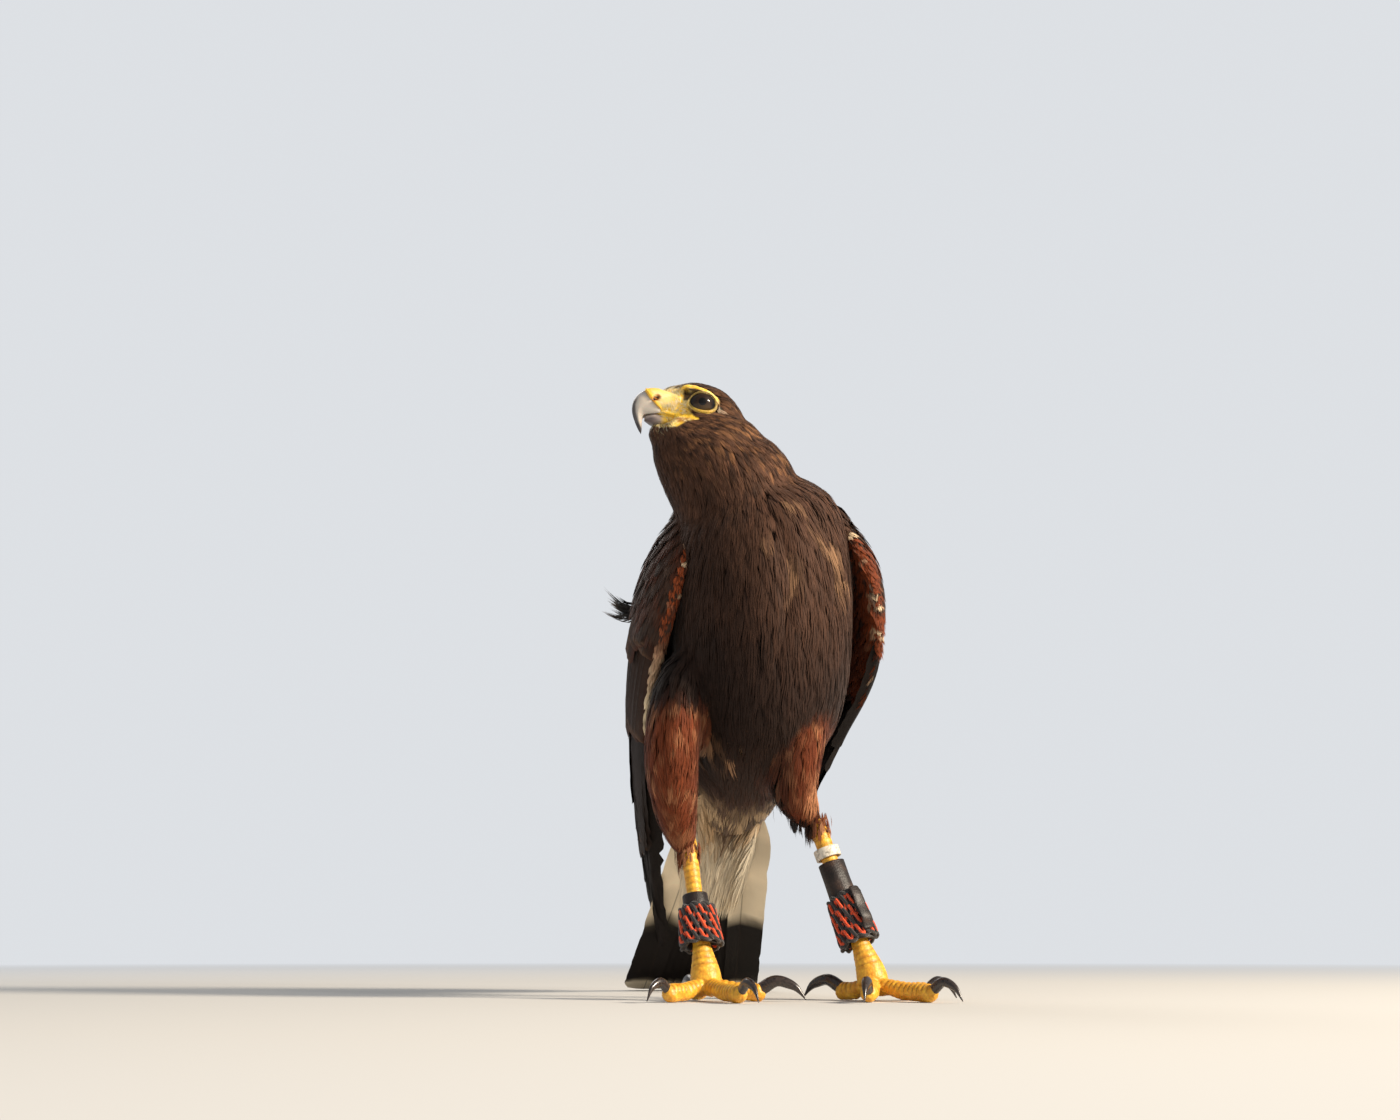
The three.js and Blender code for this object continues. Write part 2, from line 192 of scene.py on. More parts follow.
def runOf(values, t):
    values = np.asarray(values, float) if np.ndim(values) else np.full(2, float(values))
    last = len(values) - 1
    place = np.clip(t, 0, 1) * last
    i = np.minimum(place.astype(int), last - 1)
    w = place - i
    p0, p1, p2, p3 = (values[np.clip(i + k, 0, last)] for k in (-1, 0, 1, 2))
    v0, v1 = (p2 - p0) / 2, (p3 - p1) / 2
    return (2 * p1 - 2 * p2 + v0 + v1) * w**3 + (-3 * p1 + 3 * p2 - 2 * v0 - v1) * w**2 + v0 * w + p1


def curveAt(path, t):
    path = np.asarray(path, float)
    path = np.vstack([2 * path[0] - path[1], path, 2 * path[-1] - path[-2]])
    last = len(path) - 3
    place = np.clip(np.asarray(t, float), 0, 1) * last
    i = np.minimum(place.astype(int), last - 1)
    w = (place - i)[..., None]
    x0, x1, x2, x3 = (path[i + k] for k in range(4))
    d0, d1, d2 = (np.linalg.norm(b - a, axis=-1, keepdims=True) ** 0.5 for a, b in ((x0, x1), (x1, x2), (x2, x3)))
    t1 = ((x1 - x0) / d0 - (x2 - x0) / (d0 + d1) + (x2 - x1) / d1) * d1
    t2 = ((x2 - x1) / d1 - (x3 - x1) / (d1 + d2) + (x3 - x2) / d2) * d1
    return x1 + t1 * w + (-3 * x1 + 3 * x2 - 2 * t1 - t2) * w**2 + (2 * x1 - 2 * x2 + t1 + t2) * w**3


def pathFrame(path, side, t):
    t = np.asarray(t, float)
    near, far = np.clip(t - 1e-3, 0, 1), np.clip(t + 1e-3, 0, 1)
    forward = unit(curveAt(path, far) - curveAt(path, near))
    side = np.broadcast_to(np.asarray(side, float), forward.shape)
    across = unit(side - forward * (side * forward).sum(-1, keepdims=True))
    return curveAt(path, t), forward, across, np.cross(forward, across)


def latticeNoise(points, size, seed=0):
    p = np.asarray(points, float) / size + 1000 + seed * 17.31
    cell = np.floor(p).astype(np.int64)
    f = p - cell
    f = f * f * (3 - 2 * f)
    total = 0
    for corner in range(8):
        step = np.array([corner & 1, corner >> 1 & 1, corner >> 2 & 1])
        c = cell + step
        h = (c[..., 0] * 374761393 + c[..., 1] * 668265263 + c[..., 2] * 2147483647 + seed * 974634777) & 0xFFFFFFFF
        h = ((h ^ (h >> 13)) * 1274126177) & 0xFFFFFFFF
        h = (h ^ (h >> 16)) & 0xFFFFFFFF
        weight = np.prod(np.where(step, f, 1 - f), axis=-1)
        total = total + weight * (h / 2**32)
    return total


def linear(colour):
    c = np.asarray(colour, float) / 255
    return np.where(c < 0.04045, c / 12.92, ((c + 0.055) / 1.055) ** 2.4)


# The forms of the body as limbs: a path, half widths along side and half depths across it
forms = {
    "trunk": {
        "path": [[-8, -6, 309], [1, 2, 274], [4, 8, 222], [3, 20, 176], [-2, 46, 144], [-7, 82, 118],
                 [-10, 112, 98]],
        "wide": [44, 54, 55, 51, 38, 25, 15], "deep": [39, 54, 63, 55, 34, 19, 9], "ends": (0.14, 0.16),
    },
    "neck": {
        "path": [[-37, -11, 346], [-35, -11, 331], [-26, -9, 312], [-14, -6, 296], [-4, 2, 272]],
        "wide": [25, 31.5, 35.5, 40, 34], "deep": [22, 28, 33, 37, 30], "ends": (0.3, 0.1),
    },
    "skull": {
        "path": [headPoint(28, 0, 2.2), headPoint(12, 0, 1.5), headPoint(0, 0, 1), headPoint(-14, 0, -3.2),
                 headPoint(-29, 0, -9)],
        "wide": [7.6, 13.5, 17.2, 20.5, 18], "deep": [11.2, 16, 18.4, 17.6, 15], "side": headLeft, "ends": (0.12, 0.5),
    },
    "thighRight": {
        "path": [[-38, 16, 196], [-47, -2, 168], [-51, -3, 136], [-47, 8, 104], [-40.5, 13, 79]],
        "wide": [16, 18, 17, 13.5, 7.5], "deep": [24, 27, 24, 17, 8], "ends": (0.2, 0.12),
    },
    "thighLeft": {
        "path": [[30, 20, 192], [28, 7, 166], [22.5, 6, 140], [23.5, 10, 118], [36.5, 12, 96]],
        "wide": [18, 18.5, 17.5, 14.5, 7.5], "deep": [26, 26, 23, 16.5, 7], "ends": (0.2, 0.12),
    },
}
chinForm = {
    "path": [headPoint(24.5, 0, -8), headPoint(22, 0, -19), headPoint(15, 0, -36)],
    "wide": [5.6, 10, 17], "deep": [5.2, 7, 10], "side": headLeft, "ends": (0.25, 0.2),
}
wings = {
    "right": {
        "path": [[-42, 2, 292], [-57, 14, 254], [-67, 42, 206], [-67, 86, 156], [-59, 132, 102], [-47, 184, 46]],
        "wide": [22, 44, 48, 42, 28, 13], "deep": [10, 12, 11, 8, 6, 2.5],
        "curlNear": [6, 8, 5, 2, 0, 0], "curlFar": [12, 26, 42, 54, 42, 10], "side": (0, -1, -0.4), "out": 1,
    },
    "left": {
        "path": [[48, 4, 294], [65, 18, 260], [67, 44, 220], [56, 86, 178], [42, 132, 130], [26, 184, 72]],
        "wide": [22, 40, 43, 38, 26, 13], "deep": [10, 12, 11, 8, 6, 2.5],
        "curlNear": [4, 4, -2, -1, 0, 0], "curlFar": [12, 28, 42, 48, 30, 6], "side": (0.15, -1, -0.4), "out": -1,
    },
}


def limbPiece(name, form, around=40, rings=40, grow=0.0):
    path, side = form["path"], form.get("side", (1, 0, 0))
    start, end = form.get("ends", (0.2, 0.08))
    polar = np.linspace(0, math.pi, rings + 1)
    t = polar / math.pi * 0.45 + (1 - np.cos(polar)) / 2 * 0.55
    centre, forward, across, outward = pathFrame(path, side, t)
    rise = lambda s: np.sqrt(np.maximum(0, 1 - (1 - np.clip(s, 0, 1)) ** 2))
    full = (rise(t / start) if start else 1) * (rise((1 - t) / end) if end else 1)
    wide = np.maximum(runOf(form["wide"], t) * full, 0.3) + grow
    deep = np.maximum(runOf(form["deep"], t) * full, 0.3) + grow
    out = form.get("out", 1)
    curls = [runOf(form.get(key, 0), t) * out * full for key in ("curlNear", "curlFar")]
    points, faces = [centre[0] - forward[0] * grow], []
    angles = np.arange(around) / around * 2 * math.pi
    for i in range(1, rings):
        u, v = np.cos(angles), np.sin(angles)
        curl = np.where(u > 0, curls[0][i], curls[1][i]) * u * u
        ring = centre[i] + across[i] * (wide[i] * u)[:, None] + outward[i] * (deep[i] * v - curl)[:, None]
        points.extend(ring)
    points.append(centre[-1] + forward[-1] * grow)
    last = len(points) - 1
    for k in range(around):
        n = (k + 1) % around
        faces.append((0, 1 + n, 1 + k))
        faces.append((last, last - around + k, last - around + n))
        for i in range(rings - 2):
            a = 1 + i * around
            faces.append((a + k, a + n, a + around + n, a + around + k))
    piece = newPiece(name, points, faces)
    choose(piece)
    bpy.ops.object.mode_set(mode="EDIT")
    bpy.ops.mesh.select_all(action="SELECT")
    bpy.ops.mesh.normals_make_consistent(inside=False)
    bpy.ops.object.mode_set(mode="OBJECT")
    return piece


# Colours of the plumage and bare skin, as seen in soft light, 0 to 255
tones = {
    # bellyAndShade: the belly's own dark brown, darkened further as painted shade on the underside; it also paints
    # shade on the inner left thigh
    "breast": (76, 50, 36), "bellyAndShade": (46, 30, 23), "back": (66, 46, 34), "neck": (82, 54, 38),
    "cheek": (92, 61, 41), "crown": (74, 49, 35), "thigh": (112, 53, 27), "thighPale": (190, 132, 92),
    "shoulder": (122, 56, 25), "edgeCream": (250, 226, 186), "flight": (25, 20, 18), "bronze": (62, 43, 32),
    "tailWhite": (243, 226, 196), "vent": (214, 180, 138), "ventBar": (84, 60, 44),
    # shadedHollow is painted shade in the hollow under the brow
    "yellow": (245, 196, 60), "yellowPale": (249, 224, 150), "shadedHollow": (54, 35, 17), "lid": (150, 126, 56),
}
tone = {name: linear(colour) for name, colour in tones.items()}


def plumageColour(points):
    p = np.asarray(points, float)
    h = toHead(p)
    broad, fine = latticeNoise(p, 26, 1), latticeNoise(p * (1.6, 1.6, 0.5), 4, 2)
    # the lower front goes to the belly brown, partly painted shade on the underside
    low = ease(p[:, 2], 235, 165) * ease(p[:, 1], 60, -20)
    colour = mix(tone["breast"], tone["bellyAndShade"], low)
    colour = mix(colour, tone["back"], ease(p[:, 1], 10, 50) * ease(p[:, 2], 120, 160))
    colour = mix(colour, tone["neck"], ease(p[:, 2], 285, 315))
    colour = mix(colour, tone["cheek"], ease(p[:, 2], 322, 336))
    colour = mix(colour, tone["crown"], ease(h[:, 2], 8, 16) * ease(h[:, 0], -34, -16))
    nearHead = ease(p[:, 2], 322, 328)
    spot = np.hypot(h[:, 0] + 11.6, (h[:, 2] + 0.6) * 0.8)
    colour = mix(colour, mix(linear((128, 88, 62)), linear((232, 208, 178)), ease(spot, 2.6, 1.3)),
                 ease(spot, 4.0, 2.2) * nearHead * ease(np.abs(h[:, 1]), 8, 11))
    hairs = ease(latticeNoise(h * (0.4, 1.6, 1), 1.3, 12), 0.35, 0.75)
    colour = mix(colour, linear((206, 176, 130)), hairs * ease(h[:, 0], 9, 20) * ease(h[:, 2], 11, 13) * nearHead * 0.85)
    streaks = latticeNoise(h * (0.35, 1, 1) + h[:, [2, 0, 1]] * (0.3, 0, 0), 1.5, 19)
    onNeck = ease(p[:, 2], 290, 312) * (1 - ease(h[:, 0], 8, 16))
    colour = mix(colour, linear((150, 104, 66)), onNeck * ease(streaks, 0.55, 0.85) * (0.35 + 0.4 * ease(h[:, 0], -10, -30)))
    colour = mix(colour, linear((34, 21, 16)), onNeck * ease(streaks, 0.42, 0.15) * 0.75)
    # painted shade: the breast on the bird's right side is darkened by up to half, lower down
    colour = colour * (1 - 0.5 * ease(p[:, 0], 22, -34) * ease(p[:, 2], 284, 232) * ease(p[:, 2], 120, 160))[:, None]
    for name in ("thighRight", "thighLeft"):
        form = forms[name]
        t = np.interp(-p[:, 2], [-q[2] for q in form["path"]], np.linspace(0, 1, 5))
        centre = curveAt(form["path"], t)
        gap = np.hypot((p[:, 0] - centre[:, 0]) / runOf(form["wide"], t), (p[:, 1] - centre[:, 1]) / runOf(form["deep"], t))
        gap = np.where(p[:, 2] < form["path"][-1][2] + 24, gap * 0.6, gap)
        inner = ease(p[:, 0], -27, -33) if name == "thighRight" else 1
        near = inner * ease(gap, 1.3, 1.08) * ease(p[:, 2], form["path"][1][2] + 6, form["path"][1][2] - 14)
        patch = ease(latticeNoise(p * (1, 1, 1.6), 6, 5), 0.55, 0.85) * 0.5
        if name == "thighRight":
            # pale mottles on the inner edge of the right thigh, partly real pale feathers and partly painted highlight
            # on its lit side
            patch = patch + 0.45 * ease(p[:, 0], -40, -30) * ease(latticeNoise(p, 5, 15), 0.3, 0.7)
        else:
            patch = patch + 0.75 * ease(p[:, 2], 134, 116) * ease(p[:, 0], 25, 32) * ease(p[:, 1], 14, 2)
        rufous = mix(tone["thigh"], tone["thighPale"], np.clip(patch, 0, 0.85))
        # painted shade: the inner side of the left thigh is darkened to the belly brown
        rufous = mix(rufous, tone["bellyAndShade"], ease(p[:, 0], 27, 13) * ease(p[:, 0], -10, 0) * 0.75)
        colour = mix(colour, rufous, near)
    under = ease(p[:, 1], 34, 62) * ease(p[:, 2], 152, 128) * ease(np.abs(p[:, 0] + 7), 38, 25)
    bars = ease(np.sin(p[:, 1] * 0.42 + p[:, 2] * 0.2 + broad * 6), 0.1, 0.7) * ease(p[:, 1], 100, 70)
    vent = mix(tone["vent"] * 0.8, tone["ventBar"], bars * 0.9)
    colour = mix(colour, vent, under)
    # pale buff feathers along a line low on the belly, partly their own buff and partly painted highlight where they
    # stand up
    buffAndHighlight = lineDistance(p * (1, 0, 1), [(-31, 0, 143), (-21, 0, 138), (-14, 0, 137), (-4, 0, 146)])
    colour = mix(colour, linear((190, 148, 112)), ease(buffAndHighlight, 4.5, 1.2) * ease(latticeNoise(p * (1, 1, 0.4), 3, 16), 0.3, 0.6) * 0.8)
    return colour * (0.78 + 0.3 * broad + 0.22 * fine)[:, None]


# Marks of the face in head coordinates, forward and up: lids, brow, mouth
lidOpening = {"centre": (-0.4, 2.1), "half": (7.7, 5.2), "tilt": 6}
lidOuter = {"centre": (-0.6, 1.6), "half": (8.7, 6.7), "tilt": 6}
browLine = [(26, 13.2), (16, 12.7), (13, 12.2), (10, 12.3), (4, 12.1), (-2, 10.0), (-6, 8.2), (-9.6, 5.2), (-12, 2.6)]
gapeLine = [(33, -5.1), (28, -4.7), (23, -4.4), (16.8, -6.2), (8.3, -6.9), (1.6, -9.4)]


def alongLine(line, f):
    line = np.array(sorted(line))
    return np.interp(f, line[:, 0], line[:, 1])


def ovalRatio(oval, f, u):
    a = math.radians(oval["tilt"])
    x, y = f - oval["centre"][0], u - oval["centre"][1]
    x, y = x * math.cos(a) + y * math.sin(a), y * math.cos(a) - x * math.sin(a)
    return np.hypot(x / oval["half"][0], y / oval["half"][1])


def openingRatio(f, u):
    return ovalRatio(lidOpening, f, u)


def lidPlace(f, u):                     # 0 at the margin of the lids, 1 where they meet the face
    inner, outer = ovalRatio(lidOpening, f, u) - 1, ovalRatio(lidOuter, f, u) - 1
    return np.where(inner < 0, inner * 6, inner / np.maximum(inner - outer, 0.02))


def faceMask(h):
    f, l, u = h[:, 0], np.abs(h[:, 1]), h[:, 2]
    back = np.interp(u, [-14, -12, -10.4, -9.4, -8.2, -7, -5.5, -4, 0, 6, 10, 12, 13.5],
                     [9, 5.5, 2.6, 1.2, 1.6, 4.5, 5, 6, 4, 2, 8, 14, 24])
    mask = ease(f, back - 0.6, back + 0.9)
    brow = alongLine(browLine, f)
    mask = mask * ease(u, brow + 2.0, brow + 0.9)
    floorLine = np.interp(f, [1, 4, 8, 11, 14, 18, 22, 30], [-10.6, -10.2, -10.4, -12.6, -14.6, -14.8, -13.0, -10.4])
    mask = mask * ease(u, floorLine - 1.0, floorLine + 0.5)
    lids = ease(lidPlace(f, u), 1.18, 1.0) * ease(l, 8, 11)
    band = ease(np.abs(u - brow), 2.0, 1.3) * ease(f, -11.5, -9) * ease(f, 16, 12) * ease(l, 5, 8)
    under = ease(u, brow + 0.5, brow - 0.5) * ease(u, 2, 4) * ease(f, -9.5, -7) * ease(f, 14, 10) * ease(l, 8, 10)
    return np.clip(np.maximum.reduce([mask, lids, band, under]), 0, 1)


def faceColour(h):
    f, l, u = h[:, 0], np.abs(h[:, 1]), h[:, 2]
    place = lidPlace(f, u)
    speck = latticeNoise(h, 1.4, 7)
    streaks = latticeNoise(h * (0.5, 0.5, 1.6) + u[:, None] * (0.5, 0, 0), 0.9, 9)
    colour = mix(tone["yellowPale"], tone["yellow"], ease(speck + latticeNoise(h, 5, 8), 0.7, 1.35))
    colour = mix(colour, tone["yellowPale"] * 1.05, ease(streaks, 0.6, 0.9) * ease(f, 22, 16) * 0.7)
    colour = mix(colour, linear((150, 118, 58)), ease(streaks, 0.3, 0.1) * ease(f, 20, 10) * 0.5)
    colour = mix(colour, tone["yellow"], ease(np.abs(u - alongLine(gapeLine, f) - 0.4), 2.0, 0.9) * ease(f, 26, 18))
    belowLip = u - alongLine(gapeLine, f)
    colour = mix(colour, linear((150, 92, 46)), ease(belowLip, -1.0, -2.0) * ease(belowLip, -6.0, -4.4) * ease(f, 19, 13) * ease(speck, 0.1, 0.5) * 0.85)
    brow = alongLine(browLine, f)
    # painted shade in the hollow under the brow, in front of the eye
    shadedHollow = ease(u, brow - 0.9, brow - 1.9) * ease(place, 1.0, 1.25) * ease(u, 2.4, 4.4)
    shadedHollow = shadedHollow * ease(f, 12.4, 10.2) * ease(f, -9, -5)
    colour = mix(colour, tone["shadedHollow"], shadedHollow * 0.97)
    onSide = ease(l, 9, 12)
    lid = ease(place, 1.12, 0.98) * onSide
    # the lid is olive yellow, yellower below; its upper part is darkened as painted shade under the brow
    lidToneAndShade = mix(mix(tone["lid"], tone["yellow"], ease(u, -1, -4) * 0.35), linear((104, 84, 38)), ease(u, 4, 7.5) * 0.7)
    colour = mix(colour, lidToneAndShade, lid)
    colour = mix(colour, linear((92, 76, 34)), ease(place, 0.3, 0.1) * onSide * 0.8)
    # painted shade in the crease below the lower lid
    colour = mix(colour, linear((84, 66, 44)), ease(place, 1.05, 1.2) * ease(place, 1.75, 1.4) * ease(u, 0.5, -2) * onSide * 0.8)
    return colour * (0.86 + 0.26 * speck)[:, None]


def skinColour(points):
    h = toHead(points)
    nearHead = ease(points[:, 2], 318, 326)
    mask = faceMask(h) * nearHead
    plumage = plumageColour(points) * 0.62
    return mix(plumage, faceColour(h), mask), mask


def paint(piece, name, colours):
    attribute = piece.data.color_attributes.new(name, "FLOAT_COLOR", "POINT")
    rgba = np.ones((len(colours), 4), np.float32)
    rgba[:, :3] = colours
    attribute.data.foreach_set("color", rgba.ravel())


def mark(piece, name, values):
    attribute = piece.data.attributes.new(name, "FLOAT", "POINT")
    attribute.data.foreach_set("value", np.asarray(values, np.float32))


# Ruffled edges that stand up and catch the light, and the folds between: lines, half width, height
ruffles = [
    ([(19, -47, 272), (27, -45, 264), (33, -42, 256)], 3.4, 5.0), ([(37, -40, 248), (47, -33, 238), (51, -27, 231),
                                                                    (47, -31, 221)], 3.6, 6.0),
    ([(3, -54, 249), (5, -54, 242)], 2.8, 4.0), ([(15, -53, 234), (20, -52, 228), (17, -53, 222), (12, -55, 215)], 3.0, 5.6),
    ([(-30, -41, 285), (-25, -46, 278), (-19, -49, 270)], 3.4, 4.2), ([(-31, 2, 143), (-21, 4, 138), (-14, 6, 137)], 3, 4.0),
]
folds = [
    ([(-5, -50, 283), (8, -53, 262), (13, -54, 236), (12, -54, 205), (2, -50, 180)], 5.5, 4.0),
    ([(22, -45, 285), (36, -42, 262), (44, -36, 245), (42, -38, 222)], 5.5, 3.4),
]


def lineDistance(points, line):
    best = np.full(len(points), 1e9)
    for a, b in zip(np.array(line, float)[:-1], np.array(line, float)[1:]):
        share = np.clip(((points - a) @ (b - a)) / ((b - a) @ (b - a)), 0, 1)
        best = np.minimum(best, np.linalg.norm(points - a - share[:, None] * (b - a), axis=1))
    return best


def ruffleAt(points):
    lift = np.zeros(len(points))
    for line, reach, height in ruffles:
        lift = np.maximum(lift, height * np.exp(-(lineDistance(points, line) / reach) ** 2))
    return lift


print("body skin")
skinSettings = {"voxel": 2.2, "smoothing": 14, "headVoxel": 0.55, "headSmoothing": 2}
trees = {}
formPieces = {name: limbPiece(name, form) for name, form in forms.items()}
for name, piece in formPieces.items():
    trees[name] = treeOf(piece)
brows = [
    limbPiece(f"brow{s}", {
        "path": [headPoint(15, 9.5 * s, 10.6), headPoint(5, 14.2 * s, 11.6), headPoint(-4, 16.4 * s, 9.2),
                 headPoint(-12, 17 * s, 4.6)],
        "wide": [2.2, 3.4, 3.4, 2], "deep": [1.9, 2.4, 2.6, 2], "side": headLeft, "ends": (0.3, 0.3)}, 20, 20)
    for s in (1, -1)
]
eyeballs = []
for s in (1, -1):
    clearSelection()
    spot = headPoint(head["eye"][0], head["eye"][1] * s, head["eye"][2])
    bpy.ops.mesh.primitive_ico_sphere_add(subdivisions=4, radius=head["eyeRadius"] + 0.2, location=spot)
    eyeballs.append(bpy.context.object)


def duplicate(piece, name):
    copy = bpy.data.objects.new(name, piece.data.copy())
    copy.matrix_world = piece.matrix_world.copy()
    bpy.context.scene.collection.objects.link(copy)
    return copy


wingArms = []
for sideName, wing in wings.items():
    arm = {**wing, "path": wing["path"][:4], "wide": [14, 30, 34, 22], "deep": [7, 8, 7, 3],
           "curlNear": [2, 4, 1, 0], "curlFar": [6, 14, 26, 22], "ends": (0.25, 0.3)}
    wingArms.append(limbPiece(f"wingArm{sideName}", arm))
skin = joined("birdSkin", [*formPieces.values(), limbPiece("chin", chinForm), *[duplicate(b, "b") for b in brows],
                           *[duplicate(e, "e") for e in eyeballs], *wingArms])
voxelShell(skin, skinSettings["voxel"], skinSettings["smoothing"])

headForm = joined("headForm", [limbPiece("skull2", forms["skull"], 60, 60), limbPiece("neck2", forms["neck"]),
                               limbPiece("chin2", chinForm), *brows, *eyeballs])
voxelShell(headForm, skinSettings["headVoxel"], skinSettings["headSmoothing"])
headTree = treeOf(headForm)
bpy.data.objects.remove(headForm)


def refine(piece, near, cuts):
    choose(piece)
    bpy.ops.object.mode_set(mode="EDIT")
    bpy.ops.mesh.select_all(action="DESELECT")
    bpy.ops.object.mode_set(mode="OBJECT")
    centres = np.array([p.center for p in piece.data.polygons])
    piece.data.polygons.foreach_set("select", near(centres))
    bpy.ops.object.mode_set(mode="EDIT")
    bpy.ops.mesh.select_mode(type="FACE")
    bpy.ops.object.mode_set(mode="OBJECT")
    piece.data.polygons.foreach_set("select", near(centres))
    bpy.ops.object.mode_set(mode="EDIT")
    bpy.ops.mesh.subdivide(number_cuts=cuts)
    bpy.ops.object.mode_set(mode="OBJECT")


def snapToHead(piece):
    points = pointsOf(piece)
    h = toHead(points)
    weight = ease(h[:, 0], -27, -17) * ease(h[:, 2], -26, -17) * ease(points[:, 2], 316, 326)
    for i in np.nonzero(weight > 0)[0]:
        found = headTree.find_nearest(points[i].tolist())[0]
        if found is not None:
            points[i] += (np.array(found) - points[i]) * weight[i]
    movePoints(piece, points)


refine(skin, lambda c: (toHead(c)[:, 0] > -32) & (c[:, 2] > 316), 1)
refine(skin, lambda c: (toHead(c)[:, 0] > -18) & (c[:, 2] > 322), 1)
refine(skin, lambda c: (openingRatio(toHead(c)[:, 0], toHead(c)[:, 2]) < 2.3) & (np.abs(toHead(c)[:, 1]) > 9), 1)
snapToHead(skin)


def coatDepth(points):
    h = toHead(points)
    depth = np.full(len(points), 3.6)
    depth = mix(depth, 2.6, ease(points[:, 2], 292, 318))
    depth = mix(depth, 1.3, ease(points[:, 2], 322, 334))
    depth = mix(depth, 0.5, ease(h[:, 0], -4, 8) * ease(points[:, 2], 325, 333))
    return depth


def shapeFace(points, normals):
    h = toHead(points)
    f, side, u = h[:, 0], np.sign(h[:, 1]), h[:, 2]
    l = np.abs(h[:, 1])
    bare = faceMask(h) * ease(points[:, 2], 318, 326)
    push = np.zeros(len(points))
    gap = u - alongLine(gapeLine, f)                           # the mouth line and its two lips
    inMouth = ease(f, 0.6, 2.4) * ease(l, 3, 5)
    push += inMouth * (1.1 * np.exp(-((gap - 0.9) / 0.85) ** 2) + 0.5 * np.exp(-((gap + 1.0) / 0.7) ** 2)
                       - 1.1 * np.exp(-(gap / 0.4) ** 2))
    browGap = u - alongLine(browLine, f)                        # the ledge of the brow and the hollow under it
    onBrow = ease(f, -11.5, -8) * ease(f, 15, 11) * ease(l, 7, 10)
    push += onBrow * 0.9 * np.exp(-((browGap + 0.1) / 1.2) ** 2)
    place = lidPlace(f, u)
    shadedHollow = onBrow * ease(f, 13, 10) * ease(place, 1.0, 1.4) * np.exp(-((browGap + 3.0) / 1.3) ** 2) * ease(u, 2, 4)
    push -= 1.9 * shadedHollow
    lore = np.exp(-((f - 11.5) / 5) ** 2 - ((u - 3) / 5) ** 2)
    push -= 0.9 * lore
    push += 0.18 * bare * (latticeNoise(h * (0.6, 0.6, 1.5), 1.1, 14) - 0.5) * ease(place, 1.3, 2)
    points = points + normals * push[:, None]
    # lids: inside the opening the skin goes behind the eyeball, round it a rounded margin lies on the eyeball
    h = toHead(points)
    eye = np.array(head["eye"])
    centre = np.stack([np.full(len(h), eye[0]), eye[1] * side, np.full(len(h), eye[2])], -1)
    ray = h - centre
    distance = np.linalg.norm(ray, axis=1)
    ray = ray / np.maximum(distance, 1e-6)[:, None]
    onBall = centre + ray * head["eyeRadius"]
    place = lidPlace(onBall[:, 0], onBall[:, 2])
    outwards = ease(ray[:, 1] * side, 0.15, 0.35)
    radius = head["eyeRadius"]
    lidRadius = radius + np.interp(place, [-6, -0.3, 0, 0.15, 0.45, 0.8, 1.05, 1.4],
                                   [-2.4, -1.6, 0.1, 0.7, 1.1, 0.95, 0.4, 0.5])
    blend = outwards * ease(place, 2.6, 1.25) * ease(distance, 30, 20)   # only the face round the eye
    target = distance + (lidRadius - distance) * blend
    h = centre + ray * target[:, None]
    return np.array(head["centre"]) + h @ headAxes, bare


points, normals = pointsOf(skin), normalsOf(skin)
points = points - normals * coatDepth(points)[:, None]
for line, reach, depth in folds:
    points = points - normals * (depth * np.exp(-(lineDistance(points, line) / reach) ** 2))[:, None]
movePoints(skin, points)
points, faceBare = shapeFace(points, normalsOf(skin))
movePoints(skin, points)
colours, faceBare = skinColour(points)
paint(skin, "plumage", colours)
mark(skin, "bare", faceBare)
skinTree = treeOf(skin)
print("skin faces", len(skin.data.polygons))
skinPoints, skinNormals = pointsOf(skin), normalsOf(skin)

# Materials
def nodesOf(name):
    material = bpy.data.materials.new(name)
    material.use_nodes = True
    tree = material.node_tree
    return material, tree, tree.nodes["Principled BSDF"]


def add(tree, kind, **values):
    node = tree.nodes.new(kind)
    for key, value in values.items():
        if key in node.inputs:
            node.inputs[key].default_value = value
        else:
            setattr(node, key, value)
    return node


def maths(tree, operation, a, b=None, c=None):
    node = tree.nodes.new("ShaderNodeMath")
    node.operation = operation
    for i, value in enumerate((a, b, c)):
        if value is None:
            continue
        if isinstance(value, (int, float)):
            node.inputs[i].default_value = value
        else:
            tree.links.new(value, node.inputs[i])
    return node.outputs[0]


def ramp(tree, factor, *stops):
    node = tree.nodes.new("ShaderNodeValToRGB")
    node.color_ramp.elements[0].position, node.color_ramp.elements[-1].position = stops[0][0], stops[-1][0]
    node.color_ramp.elements[0].color = (*stops[0][1], 1)
    node.color_ramp.elements[-1].color = (*stops[-1][1], 1)
    for place, colour in stops[1:-1]:
        node.color_ramp.elements.new(place).color = (*colour, 1)
    tree.links.new(factor, node.inputs[0])
    return node.outputs[0]


def blendColours(tree, factor, a, b, kind="MIX"):
    node = tree.nodes.new("ShaderNodeMix")
    node.data_type, node.blend_type = "RGBA", kind
    for socket, value in ((node.inputs[0], factor), (node.inputs[6], a), (node.inputs[7], b)):
        if isinstance(value, (int, float)):
            socket.default_value = value
        elif isinstance(value, (tuple, list, np.ndarray)):
            socket.default_value = (*[float(v) for v in value], 1)
        else:
            tree.links.new(value, socket)
    return node.outputs[2]


def setShader(shader, **values):
    for key, value in values.items():
        shader.inputs[key.replace("_", " ")].default_value = value


